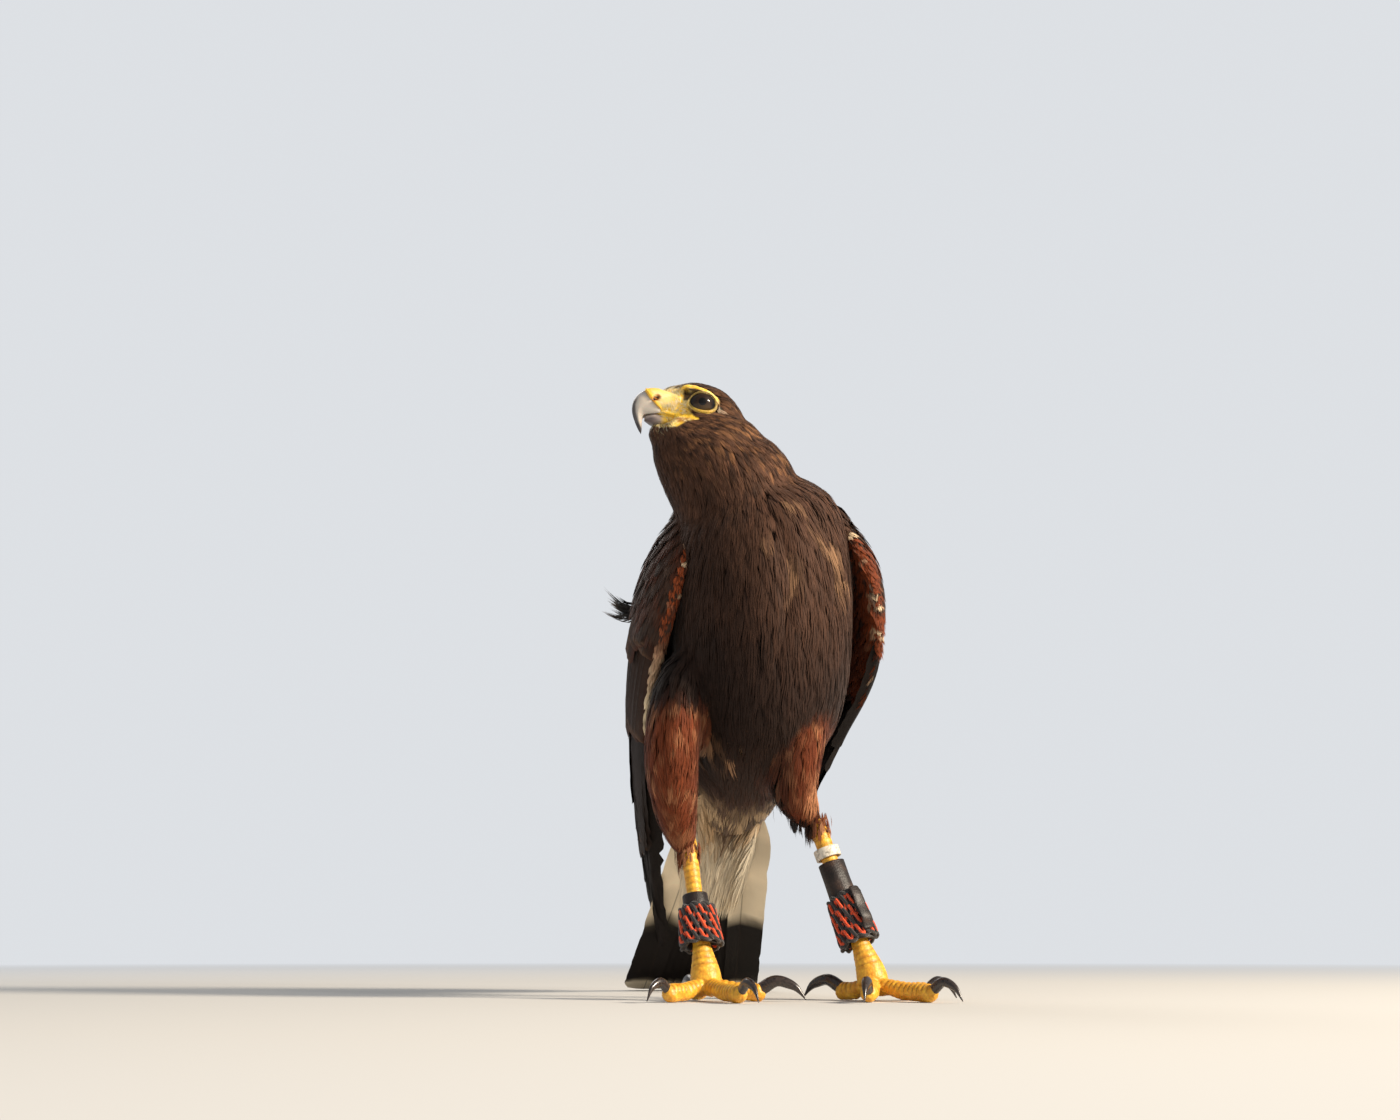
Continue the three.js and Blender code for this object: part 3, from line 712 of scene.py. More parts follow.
# Barbs: fine lines that leave the shaft at a slant, read from the vane map in millimetres
def barbGroup():
    tree = bpy.data.node_groups.new("featherBarbs", "ShaderNodeTree")
    tree.interface.new_socket("Spacing", in_out="INPUT", socket_type="NodeSocketFloat").default_value = 0.7
    tree.interface.new_socket("Slant", in_out="INPUT", socket_type="NodeSocketFloat").default_value = 1.4
    tree.interface.new_socket("Barbs", in_out="OUTPUT", socket_type="NodeSocketFloat")
    tree.interface.new_socket("Shaft", in_out="OUTPUT", socket_type="NodeSocketFloat")
    inside, outside = tree.nodes.new("NodeGroupInput"), tree.nodes.new("NodeGroupOutput")
    uv = add(tree, "ShaderNodeUVMap", uv_map="vane")
    split = tree.nodes.new("ShaderNodeSeparateXYZ")
    tree.links.new(uv.outputs[0], split.inputs[0])
    across = maths(tree, "ABSOLUTE", split.outputs[0])
    line = maths(tree, "SUBTRACT", split.outputs[1], maths(tree, "MULTIPLY", across, inside.outputs["Slant"]))
    noise = add(tree, "ShaderNodeTexNoise", Scale=0.9, Detail=2.0)
    tree.links.new(uv.outputs[0], noise.inputs["Vector"])
    line = maths(tree, "ADD", line, maths(tree, "MULTIPLY", noise.outputs[0], 1.2))
    wave = maths(tree, "SINE", maths(tree, "MULTIPLY", maths(tree, "DIVIDE", line, inside.outputs["Spacing"]), 6.283))
    tree.links.new(maths(tree, "MULTIPLY_ADD", wave, 0.5, 0.5), outside.inputs["Barbs"])
    shaft = maths(tree, "SUBTRACT", 1.0, maths(tree, "MULTIPLY", across, 1.6))
    shaft = maths(tree, "MAXIMUM", shaft, 0.0)
    tree.links.new(shaft, outside.inputs["Shaft"])
    return tree


barbs = barbGroup()


def featherMaterial(name, roughness, sheen, spacing, depth, shaftTint=0.25, specular=0.15):
    material, tree, shader = nodesOf(name)
    setShader(shader, Sheen_Weight=sheen, Sheen_Roughness=0.4, Specular_IOR_Level=specular)
    colour = add(tree, "ShaderNodeAttribute", attribute_name="plumage").outputs["Color"]
    group = add(tree, "ShaderNodeGroup", node_tree=barbs, Spacing=spacing, Slant=1.3)
    lines = blendColours(tree, 0.4, colour, (0.5, 0.5, 0.5), "MULTIPLY")
    tinted = blendColours(tree, group.outputs["Barbs"], lines, colour)
    tinted = blendColours(tree, maths(tree, "MULTIPLY", group.outputs["Shaft"], shaftTint), tinted, (0.02, 0.013, 0.01))
    tree.links.new(tinted, shader.inputs["Base Color"])
    tree.links.new(maths(tree, "MULTIPLY_ADD", group.outputs["Barbs"], -0.12, roughness), shader.inputs["Roughness"])
    bump = add(tree, "ShaderNodeBump", Strength=depth, Distance=0.0003)
    tree.links.new(group.outputs["Barbs"], bump.inputs["Height"])
    tree.links.new(bump.outputs[0], shader.inputs["Normal"])
    return material


def skinMaterial():
    material, tree, shader = nodesOf("plumageSkin")
    setShader(shader, Specular_IOR_Level=0.4, Subsurface_Weight=0.05, Subsurface_Scale=0.002)
    colour = add(tree, "ShaderNodeAttribute", attribute_name="plumage").outputs["Color"]
    bare = add(tree, "ShaderNodeAttribute", attribute_name="bare").outputs["Fac"]
    place = tree.nodes.new("ShaderNodeTexCoord").outputs["Object"]
    wrinkle = add(tree, "ShaderNodeTexNoise", Scale=1500.0, Detail=3.0)
    cells = add(tree, "ShaderNodeTexVoronoi", Scale=900.0)
    for node in (wrinkle, cells):
        tree.links.new(place, node.inputs["Vector"])
    tinted = blendColours(tree, maths(tree, "MULTIPLY", wrinkle.outputs[0], 0.35), colour, (0.62, 0.5, 0.34), "MULTIPLY")
    tree.links.new(tinted, shader.inputs["Base Color"])
    tree.links.new(maths(tree, "MULTIPLY_ADD", bare, -0.35, 0.85), shader.inputs["Roughness"])
    bump = add(tree, "ShaderNodeBump", Strength=0.5, Distance=0.0004)
    tree.links.new(maths(tree, "ADD", cells.outputs[0], wrinkle.outputs[0]), bump.inputs["Height"])
    tree.links.new(bump.outputs[0], shader.inputs["Normal"])
    return material


softPlume = featherMaterial("softPlume", 0.75, 0.12, 0.55, 0.25)
smoothPlume = featherMaterial("smoothPlume", 0.66, 0.1, 0.8, 0.45, 0.5)
flightPlume = featherMaterial("flightPlume", 0.6, 0.0, 1.0, 0.5, 0.6, 0.08)
bristleHair = featherMaterial("bristleHair", 0.6, 0.1, 0.5, 0.1, 0)
settle(skin, skinMaterial(), "plumage", "trunk", "neck", "head", "thigh_left", "thigh_right")

# Lie of the coat: where, which way, feather length, width and coat depth in millimetres
def fromHead(f, l, u, df, dl, du, *sizes):
    return (*headPoint(f, l, u), *(np.array([df, dl, du], float) @ headAxes), *sizes)


lieGuides = [
    fromHead(16, 0, 17, -1, 0, 0.25, 5, 1.6, 0.7), fromHead(4, 0, 20, -1, 0, 0, 8, 2.4, 1.3),
    fromHead(-12, 0, 18, -1, 0, -0.35, 10, 3, 1.7), fromHead(-28, 0, 8, -0.8, 0, -0.9, 13, 3.8, 2.3),
    *[fromHead(*row) for s in (1, -1) for row in (
        (6, 9 * s, 16, -1, 0.1 * s, 0, 6, 2, 0.9), (-8, 15 * s, 11, -1, 0.1 * s, -0.3, 7, 2.2, 1.1),
        (-14, 18 * s, 2, -1, 0, -0.5, 8, 2.4, 1.3), (-24, 17 * s, -4, -0.9, 0, -0.75, 11, 3.2, 2),
        (1, 15 * s, -9, -1, 0, -0.5, 5.5, 1.7, 0.8), (-8, 17 * s, -10, -1, 0, -0.62, 8, 2.4, 1.4),
        (10, 8 * s, -15, -0.7, 0, -0.9, 7.5, 2, 1.1), (-18, 16 * s, -18, -0.75, 0, -0.95, 12, 3.4, 2.2))],
    fromHead(20, 0, -12, -0.45, 0, -1, 6, 1.6, 0.9), fromHead(16, 0, -22, -0.15, 0, -1, 10, 2.6, 1.8),
    (-62, -8, 312, 0.12, 0, -1, 14, 4, 2.5), (-26, -42, 312, 0.3, 0.05, -0.95, 16, 4.6, 2.8),
    (8, -14, 318, 0.75, 0.05, -0.66, 16, 5, 2.6), (-10, 22, 322, 0.35, 0.4, -0.85, 17, 6, 2.8),
    (-45, 18, 312, 0.1, 0.35, -0.95, 16, 5, 2.6), (-48, -34, 285, -0.12, 0.1, -1, 19, 6.5, 3),
    (-12, -50, 285, 0.05, 0, -1, 21, 7.5, 3.4), (30, -36, 292, 0.3, 0.1, -0.95, 22, 8, 3.4),
    (0, -52, 250, 0, 0.02, -1, 26, 9.5, 4), (0, -48, 215, 0, 0.2, -1, 29, 10.5, 4.2),
    (42, -28, 245, 0.12, 0.15, -1, 26, 9.5, 4), (-42, -28, 240, -0.1, 0.15, -1, 26, 9.5, 4),
    (0, -32, 175, 0, 0.5, -0.86, 29, 10.5, 4.5), (0, -4, 140, 0, 0.85, -0.5, 32, 11, 5),
    (0, 40, 110, 0, 0.95, -0.3, 38, 12, 5), (48, 8, 200, 0, 0.35, -0.93, 30, 11, 4.2),
    (-48, 8, 200, 0, 0.35, -0.93, 30, 11, 4.2), (0, 40, 298, 0.05, 0.4, -0.9, 25, 11, 3.2),
    (0, 66, 245, 0, 0.45, -0.9, 36, 17, 3.8), (0, 76, 180, 0, 0.72, -0.7, 38, 16, 4),
    (0, 90, 140, 0, 0.82, -0.57, 40, 14, 3),
    (-46, -26, 168, 0, 0.02, -1, 19, 5.5, 3), (-48, -26, 135, 0, 0.1, -1, 18, 5, 3), (-60, 0, 150, 0, 0.1, -1, 19, 5.5, 3),
    (-45, -4, 104, 0.02, 0.1, -1, 19, 4.6, 2.6), (-41, 12, 90, 0, 0.1, -1, 19, 4, 2.2), (-46, 26, 130, 0, 0.2, -1, 22, 6, 3),
    (31, -20, 160, 0.03, 0.15, -1, 20, 6, 3), (31, -16, 130, 0.05, 0.2, -1, 20, 5.5, 3), (46, 6, 140, 0.05, 0.2, -1, 20, 6, 3),
    (26, 2, 110, 0.2, 0.15, -1, 20, 4.8, 2.6), (30, 30, 130, 0, 0.3, -1, 24, 6.5, 3),
]
guideRows = np.array(lieGuides, float)


def lieAt(points):
    gaps = ((points[:, None] - guideRows[None, :, :3]) ** 2).sum(-1)
    weight = 1 / (gaps + 7.0**2) ** 2.2
    weight /= weight.sum(1, keepdims=True)
    found = weight @ guideRows[:, 3:]
    return unit(found[:, :3]), found[:, 3], found[:, 4], found[:, 5]


def surfaceSamples(piece, keep, count, rng):
    piece.data.calc_loop_triangles()
    triangles = np.zeros(len(piece.data.loop_triangles) * 3, np.int32)
    piece.data.loop_triangles.foreach_get("vertices", triangles)
    triangles = triangles.reshape(-1, 3)
    corners = skinPoints[triangles]
    centres = corners.mean(1)
    area = np.linalg.norm(np.cross(corners[:, 1] - corners[:, 0], corners[:, 2] - corners[:, 0]), axis=1) / 2
    _, length, width, _ = lieAt(centres)
    weight = area / (length * width) * keep(centres)
    picks = rng.choice(len(triangles), count, p=weight / weight.sum())
    r1, r2 = np.sqrt(rng.random(count)), rng.random(count)
    c = corners[picks]
    spots = c[:, 0] * (1 - r1)[:, None] + c[:, 1] * (r1 * (1 - r2))[:, None] + c[:, 2] * (r1 * r2)[:, None]
    n = skinNormals[triangles[picks]].mean(1)
    return spots, unit(n)


def thinOut(spots, spacing):
    tree = KDTree(len(spots))
    for i, spot in enumerate(spots):
        tree.insert(spot, i)
    tree.balance()
    gone = np.zeros(len(spots), bool)
    kept = []
    for i, spot in enumerate(spots):
        if gone[i]:
            continue
        kept.append(i)
        for _, j, _ in tree.find_range(spot, spacing[i]):
            gone[j] = True
    return np.array(kept)


def layShafts(roots, direction, length, depth, lift, stations=5, tree=None, press=0.3):
    tree = tree or skinTree
    count = len(roots)
    shafts, ups = np.zeros((count, stations, 3)), np.zeros((count, stations, 3))
    at = roots.copy()
    heading = direction.copy()
    for k in range(stations):
        share = k / (stations - 1)
        for i in range(count):
            found, normal, _, _ = tree.find_nearest(at[i])
            shafts[i, k] = found
            ups[i, k] = normal
        heading = unit(heading - ups[:, k] * (heading * ups[:, k]).sum(1, keepdims=True))
        at = shafts[:, k] + heading * (length / (stations - 1))[:, None]
        rise = depth * (0.12 + 1.05 * share**0.75) * (1 - press * share**3) + lift * share**1.3
        shafts[:, k] += ups[:, k] * rise[:, None]
    return shafts, ups


def between(values, share):
    last = values.shape[1] - 1
    place = np.clip(share, 0, 1) * last
    i = np.minimum(place.astype(int), last - 1)
    w = (place - i)[..., None]
    rows = np.arange(len(values)).reshape(-1, *[1] * (share.ndim - 1))
    return values[rows, i] * (1 - w) + values[rows, i + 1] * w


def growTufts(name, shafts, ups, length, width, roots, colourAt, chart, rng, slivers=9, wild=0.12, thick=0.5, tip=None,
              vary=0.08):
    count = len(shafts)
    q = np.array([0, 0.3, 0.68, 1.0])
    along = np.gradient(shafts, axis=1)
    along = unit(along)
    sides = unit(np.cross(along, ups))
    order = (np.arange(slivers) + 0.5) / slivers * 2 - 1                        # -1 left edge to 1 right edge
    spread = order[None, :] + rng.normal(0, 0.07, (count, slivers))
    start = np.clip(0.02 + 0.3 * (1 - np.abs(spread)) * rng.random((count, slivers)) + 0.1 * rng.random((count, slivers)),
                    0, 0.7)
    end = np.clip(1 - 0.34 * np.abs(spread) ** 1.8 + rng.normal(0, wild * 0.6, (count, slivers)), 0.45, 1.08)
    reach = spread * width[:, None] / 2 * (1 + rng.normal(0, wild, (count, slivers)))
    a = start[..., None] + (end - start)[..., None] * q
    b = reach[..., None] * (1 - (1 - q) ** 1.9) * (1 - 0.25 * q**2 * np.abs(spread)[..., None])
    sliverWidth = (width[:, None] / slivers * 1.9 * (0.8 + 0.5 * rng.random((count, slivers))))[..., None]
    half = sliverWidth * np.array([0.35, 0.55, 0.5, 0.0]) * thick * 2 / 1.0 * 0.5
    flat = lambda x: x.reshape(count, -1)
    centre = between(shafts, flat(a)).reshape(count, slivers, 4, 3)
    over = a > 1
    side = between(sides, flat(a)).reshape(centre.shape)
    up = between(ups, flat(a)).reshape(centre.shape)
    ahead = between(along, flat(a)).reshape(centre.shape)
    centre = centre + ahead * (np.where(over, a - 1, 0) * length[:, None, None])[..., None]
    camber = -0.35 * (b / width[:, None, None] * 2) ** 2 * (width[:, None, None] * 0.28)
    jitter = (rng.random((count, slivers)) * 0.5)[..., None] * np.array([0, 0.6, 1, 1.3]) * (0.35 + 0.03 * length)[:, None, None]
    centre = centre + side * b[..., None] + up * (camber + jitter)[..., None]
    roll = rng.normal(0, 0.12, (count, slivers))[..., None, None]
    flatWay = unit(side * np.cos(roll) + up * np.sin(roll) - ahead * (spread * 0.25)[..., None, None])
    left, right = centre - flatWay * half[..., None], centre + flatWay * half[..., None]
    corners = np.concatenate([left[:, :, :3], right[:, :, :3], centre[:, :, 3:]], axis=2)  # 7 a sliver
    total = count * slivers
    corners = corners.reshape(total * 7, 3)
    template = np.array([[0, 3, 4], [0, 4, 1], [1, 4, 5], [1, 5, 2], [2, 5, 6]])
    faces = (np.arange(total) * 7)[:, None, None] + template
    faces = faces.reshape(-1, 3)
    share = np.concatenate([a[:, :, :3], a[:, :, :3], a[:, :, 3:]], axis=2)
    acrossMm = np.concatenate([b[:, :, :3] - half[:, :, :3], b[:, :, :3] + half[:, :, :3], b[:, :, 3:]], axis=2)
    feather = np.repeat(np.arange(count), slivers * 7)
    shade = colourAt(roots, shafts[:, -1])
    featherTone = 1 + rng.normal(0, vary, (count, 1, 1))
    sliverTone = 1 + rng.normal(0, 0.09 + vary / 4, (count, slivers, 1))
    toneAlong = 0.68 + 0.42 * np.clip(share, 0, 1)
    brightness = np.clip(featherTone * sliverTone * toneAlong, 0.25, 1.9).reshape(-1, 1)
    colour = shade[feather] * brightness
    if tip is not None:
        colour = mix(colour, tip, ease(share.reshape(-1), 0.86, 1.0) * 0.6)
    uv = np.stack([acrossMm.reshape(-1), share.reshape(-1) * np.repeat(length, slivers * 7)], -1)
    patch = chart[feather] + 0.0015 * np.stack(
        [acrossMm.reshape(-1) / np.repeat(width, slivers * 7) * 1.2, share.reshape(-1) * 2 - 1], -1)
    piece = fillPiece(name, corners, faces, colour, uv, patch)
    broadUp = unit(up + np.cross(side, ahead) + side * (b / width[:, None, None])[..., None] * 1.2)
    broadUp = np.concatenate([broadUp[:, :, :3], broadUp[:, :, :3], broadUp[:, :, 3:]], axis=2).reshape(-1, 3)
    piece.data.normals_split_custom_set_from_vertices(unit(normalsOf(piece) * 0.3 + broadUp * 0.7).tolist())
    return piece


def fillPiece(name, corners, faces, colour, uv, patch):
    mesh = bpy.data.meshes.new(name)
    mesh.vertices.add(len(corners))
    mesh.vertices.foreach_set("co", corners.astype(np.float32).ravel())
    mesh.loops.add(faces.size)
    mesh.loops.foreach_set("vertex_index", faces.astype(np.int32).ravel())
    mesh.polygons.add(len(faces))
    sides = faces.shape[1]
    mesh.polygons.foreach_set("loop_start", (np.arange(len(faces)) * sides).astype(np.int32))
    mesh.polygons.foreach_set("use_smooth", np.ones(len(faces), bool))
    mesh.update(calc_edges=True)
    mesh.validate()
    piece = bpy.data.objects.new(name, mesh)
    bpy.context.scene.collection.objects.link(piece)
    paint(piece, "plumage", colour)
    loops = np.zeros(len(mesh.loops), np.int32)
    mesh.loops.foreach_get("vertex_index", loops)
    for layer, values in (("vane", uv), ("OFBake", patch)):
        map_ = mesh.uv_layers.new(name=layer)
        map_.uv.foreach_set("vector", values[loops].astype(np.float32).ravel())
    mesh.uv_layers["vane"].active_render = True
    print(name, len(faces) * (sides - 2), "triangles")
    return piece


def chartOf(points, path, side=(1, 0, 0)):
    steps = np.linspace(0, 1, 81)
    centre, _, across, outward = pathFrame(path, side, steps)
    nearest = ((points[:, None] - centre[None]) ** 2).sum(-1).argmin(1)
    gap = points - centre[nearest]
    angle = np.arctan2((gap * outward[nearest]).sum(1), (gap * across[nearest]).sum(1))
    return np.stack([0.01 + 0.98 * (angle / (2 * math.pi) + 0.5), 0.01 + 0.98 * steps[nearest]], -1)


def nearestForm(points):
    names = list(trees)
    gaps = np.array([[trees[n].find_nearest(p)[3] for n in names] for p in points])
    return np.array(names)[gaps.argmin(1)]



print("coat roots")
coat = {"candidates": 90000, "spacing": 0.3, "seed": 7}
rng = np.random.default_rng(coat["seed"])


def coatKeep(centres):
    h = toHead(centres)
    onHead = ease(centres[:, 2], 318, 326)
    bare = faceMask(h) * onHead > 0.3
    snout = (h[:, 0] > 26) & (h[:, 2] > -10) & (onHead > 0)
    lids = (lidPlace(h[:, 0], h[:, 2]) < 1.3) & (np.abs(h[:, 1]) > 8) & (centres[:, 2] > 325)
    return np.where(bare | snout | lids, 0.0, 1.0)


spots, spotNormals = surfaceSamples(skin, coatKeep, coat["candidates"], rng)
direction, length, width, depth = lieAt(spots)
kept = thinOut(spots, coat["spacing"] * np.sqrt(length * width))
spots, direction = spots[kept], direction[kept]
length, width, depth = length[kept] * (1 + rng.normal(0, 0.08, len(kept))), width[kept], depth[kept]
headward = ease(spots[:, 2], 300, 325)
turned = rng.normal(0, 0.07, (len(kept), 3))
tipSpots = spots + direction * length[:, None] * 0.8
shafts, ups = layShafts(spots, unit(direction + turned), length, depth, ruffleAt(tipSpots))
region = nearestForm(spots)
print("coat feathers", len(kept))


def coatShade(roots, tips):
    # ruffled feather tips are painted paler: partly pale feather edges, partly painted highlight on the raised ridges
    paleEdgeAndHighlight = ruffleAt(tips)
    paleEdgeAndHighlight = paleEdgeAndHighlight * ease(latticeNoise(tips * (1, 1, 0.6), 6, 18), 0.3, 0.6)
    return mix(plumageColour(roots * 0.5 + tips * 0.5), linear((176, 134, 98)), np.clip(paleEdgeAndHighlight * 0.15, 0, 0.6))


h = toHead(spots)
coatPieces = {
    "coatHead": (region == "skull") | ((region == "neck") & (spots[:, 2] > 326)),
    "coatThighRight": region == "thighRight",
    "coatThighLeft": region == "thighLeft",
}
taken = np.zeros(len(spots), bool)
for mask in coatPieces.values():
    taken |= mask
coatPieces["coatNeck"] = ~taken & (spots[:, 2] > 288)
taken |= coatPieces["coatNeck"]
front = spots[:, 1] < 30 - (spots[:, 2] < 150) * -60
coatPieces["coatBreast"] = ~taken & (spots[:, 1] < 12) & (spots[:, 2] > 205)
taken |= coatPieces["coatBreast"]
coatPieces["coatBelly"] = ~taken & ((spots[:, 1] < 30) | (spotNormals[kept][:, 2] < -0.35)) & (spots[:, 2] < 215)
taken |= coatPieces["coatBelly"]
coatPieces["coatBack"] = ~taken
looks = {
    "coatHead": ("skull", 6, 0.1, 0.5), "coatNeck": ("neck", 9, 0.12, 0.48), "coatBreast": ("trunk", 13, 0.12, 0.5),
    "coatBelly": ("trunk", 13, 0.14, 0.5), "coatBack": ("trunk", 15, 0.06, 0.7),
    "coatThighRight": ("thighRight", 9, 0.14, 0.5), "coatThighLeft": ("thighLeft", 9, 0.14, 0.5),
}
for name, (formName, slivers, wild, thick) in looks.items():
    own = coatPieces[name]
    if not own.any():
        continue
    form = forms[formName]
    chart = chartOf(spots[own], form["path"], form.get("side", (1, 0, 0)))
    piece = growTufts(name, shafts[own], ups[own], length[own], width[own], spots[own], coatShade, chart, rng,
                      slivers, wild, thick, vary=0.2 if name in ("coatHead", "coatNeck") else 0.08)
    settle(piece, softPlume, "rufous" if "Thigh" in name else "plumage")

thighFringe = {"rings": (3, 6, 10), "count": 26, "length": (7, 13), "width": 3.0}
for sideName, formName in (("right", "thighRight"), ("left", "thighLeft")):
    form = forms[formName]
    low = np.array(form["path"][-1], float)
    roots = []
    for height in thighFringe["rings"]:
        turnRound = np.arange(thighFringe["count"]) / thighFringe["count"] * 2 * math.pi + height
        around = np.stack([np.cos(turnRound), np.sin(turnRound), np.zeros(len(turnRound))], -1)
        roots.append(low + around * (5.2, 6.2, 0) + np.array([0, 0, height]) + rng.normal(0, 0.8, around.shape))
    if sideName == "left":                    # it hangs lower under the inner side
        edge = np.array([(10, 5, 127), (15, 6, 116), (22, 8, 108), (31, 10, 99)], float)
        roots.append(curveAt(edge, rng.random(70)) + rng.normal(0, (1.5, 3, 1.5), (70, 3)))
    roots = np.concatenate(roots)
    length = rng.uniform(*thighFringe["length"], len(roots))
    outwards = unit((roots - low) * (1, 1, 0))
    share = np.linspace(0, 1, 5)[None, :, None]
    shafts = roots[:, None] + (np.array([0, 0.08, -1.0]) + rng.normal(0, 0.07, (len(roots), 1, 3))) * length[:, None, None] * share
    shafts += outwards[:, None] * (0.8 + 2.2 * share * rng.random((len(roots), 1, 1)) - 1.6 * share**3)
    ups = np.broadcast_to(outwards[:, None], shafts.shape)
    chart = np.stack([0.02 + 0.96 * rng.random(len(roots)), 0.02 + 0.96 * rng.random(len(roots))], -1)

    def fringeShade(roots, tips):
        speck = latticeNoise(roots, 3, 17)
        colour = mix(tone["thigh"] * 1.1, tone["thighPale"], ease(speck, 0.35, 0.8) * ease(tips[:, 1], low[1] + 4, low[1] - 6))
        if sideName == "left":
            # painted shade: the inner side of the left fringe is darkened to the belly brown
            colour = mix(colour, tone["bellyAndShade"], ease(roots[:, 0], low[0], low[0] - 5))
        return colour

    fringe = growTufts(f"thighFringe_{sideName}", shafts, ups, length, np.full(len(roots), thighFringe["width"]), roots,
                       fringeShade, chart, rng, 7, 0.2, 0.4)
    settle(fringe, softPlume, "rufous")

# Short bristles of the lore, forehead, chin and under the gape
bristleSpots = [   # forward, side, up, reach, way (forward, side, up), length, pale share
    ((15, 9, 4), 6.5, (0.45, 0.2, 0.75), 2.4, 1.3), ((11, 11, -2), 4.0, (-0.7, 0.2, -0.3), 2.8, 1.2),
    ((27, 2, 13), 3.6, (-0.5, 0.1, 0.95), 4.2, 0.9), ((23.5, 2, 14), 3.6, (-0.65, 0.1, 0.85), 5.0, 0.75), ((19, 5, 13), 4.5, (-0.8, 0.1, 0.7), 5.2, 0.6),
    ((13, 6, 15.5), 4, (-0.9, 0.1, 0.45), 5, 0.3),
    ((27, 3, -10), 4.5, (0.2, 0.1, -0.95), 5.5, 0.4), ((20, 7, -12), 4.5, (-0.35, 0.25, -0.85), 5, 0.6),
    ((9, 11, -13), 4.0, (-0.75, 0.2, -0.6), 4.8, 0.9), ((3, 13, -7), 3.0, (-0.9, 0.1, -0.35), 3.4, 0.7),
]


def bristleKeep(centres):
    h = toHead(centres)
    h[:, 1] = np.abs(h[:, 1])
    near = np.max([np.exp(-((h - spot) ** 2).sum(1) / reach**2) for spot, reach, *_ in bristleSpots], axis=0)
    lids = (lidPlace(h[:, 0], h[:, 2]) < 2.3) | ((h[:, 0] < 12.5) & (h[:, 2] > 2) & (h[:, 2] < 12.5))
    mouth = (np.abs(h[:, 2] - alongLine(gapeLine, h[:, 0]) - 0.3) < 1.7) & (h[:, 0] > 2)
    return np.where(lids | mouth | (near < 0.1) | (centres[:, 2] < 322), 0, near * 12)


def bristleRows(points):
    h = toHead(points)
    side = np.where(h[:, 1] < 0, -1, 1)
    h[:, 1] = np.abs(h[:, 1])
    weight = np.array([np.exp(-((h - spot) ** 2).sum(1) / reach**2) + 1e-6 for spot, reach, *_ in bristleSpots]).T
    weight /= weight.sum(1, keepdims=True)
    way = weight @ np.array([row[2] for row in bristleSpots], float)
    way[:, 1] *= side
    return way @ headAxes, weight @ np.array([row[3] for row in bristleSpots]), weight @ np.array(
        [row[4] for row in bristleSpots])


spots, bristleUps = surfaceSamples(skin, bristleKeep, 6000, rng)
kept = thinOut(spots, np.full(len(spots), 0.75))
spots, bristleUps = spots[kept], bristleUps[kept]
way, length, paleShare = bristleRows(spots)
length = length * (0.7 + 0.6 * rng.random(len(spots)))
shafts, ups = layShafts(spots, unit(way + rng.normal(0, 0.16, way.shape)), length, np.full(len(spots), 0.25),
                        0.35 + 0.5 * rng.random(len(spots)))


def bristleShade(roots, tips):
    pick = np.random.default_rng(5).random(len(roots))
    pale = mix(linear((250, 226, 150)), linear((246, 232, 206)), np.random.default_rng(6).random(len(roots)))
    darkHair = linear((70, 46, 32))
    return mix(np.broadcast_to(darkHair, pale.shape), pale, ease(paleShare - pick, -0.1, 0.1))


chart = chartOf(spots, forms["skull"]["path"], headLeft)
bristles = growTufts("faceBristles", shafts, ups, length, np.full(len(spots), 0.7), spots, bristleShade, chart, rng, 3, 0.15,
                     0.26)
settle(bristles, bristleHair, "plumage")
print("bristles", len(spots))

print("wings and tail")
vaneColumns = np.array([-1, -0.66, -0.32, -0.05, 0, 0.05, 0.32, 0.66, 1])


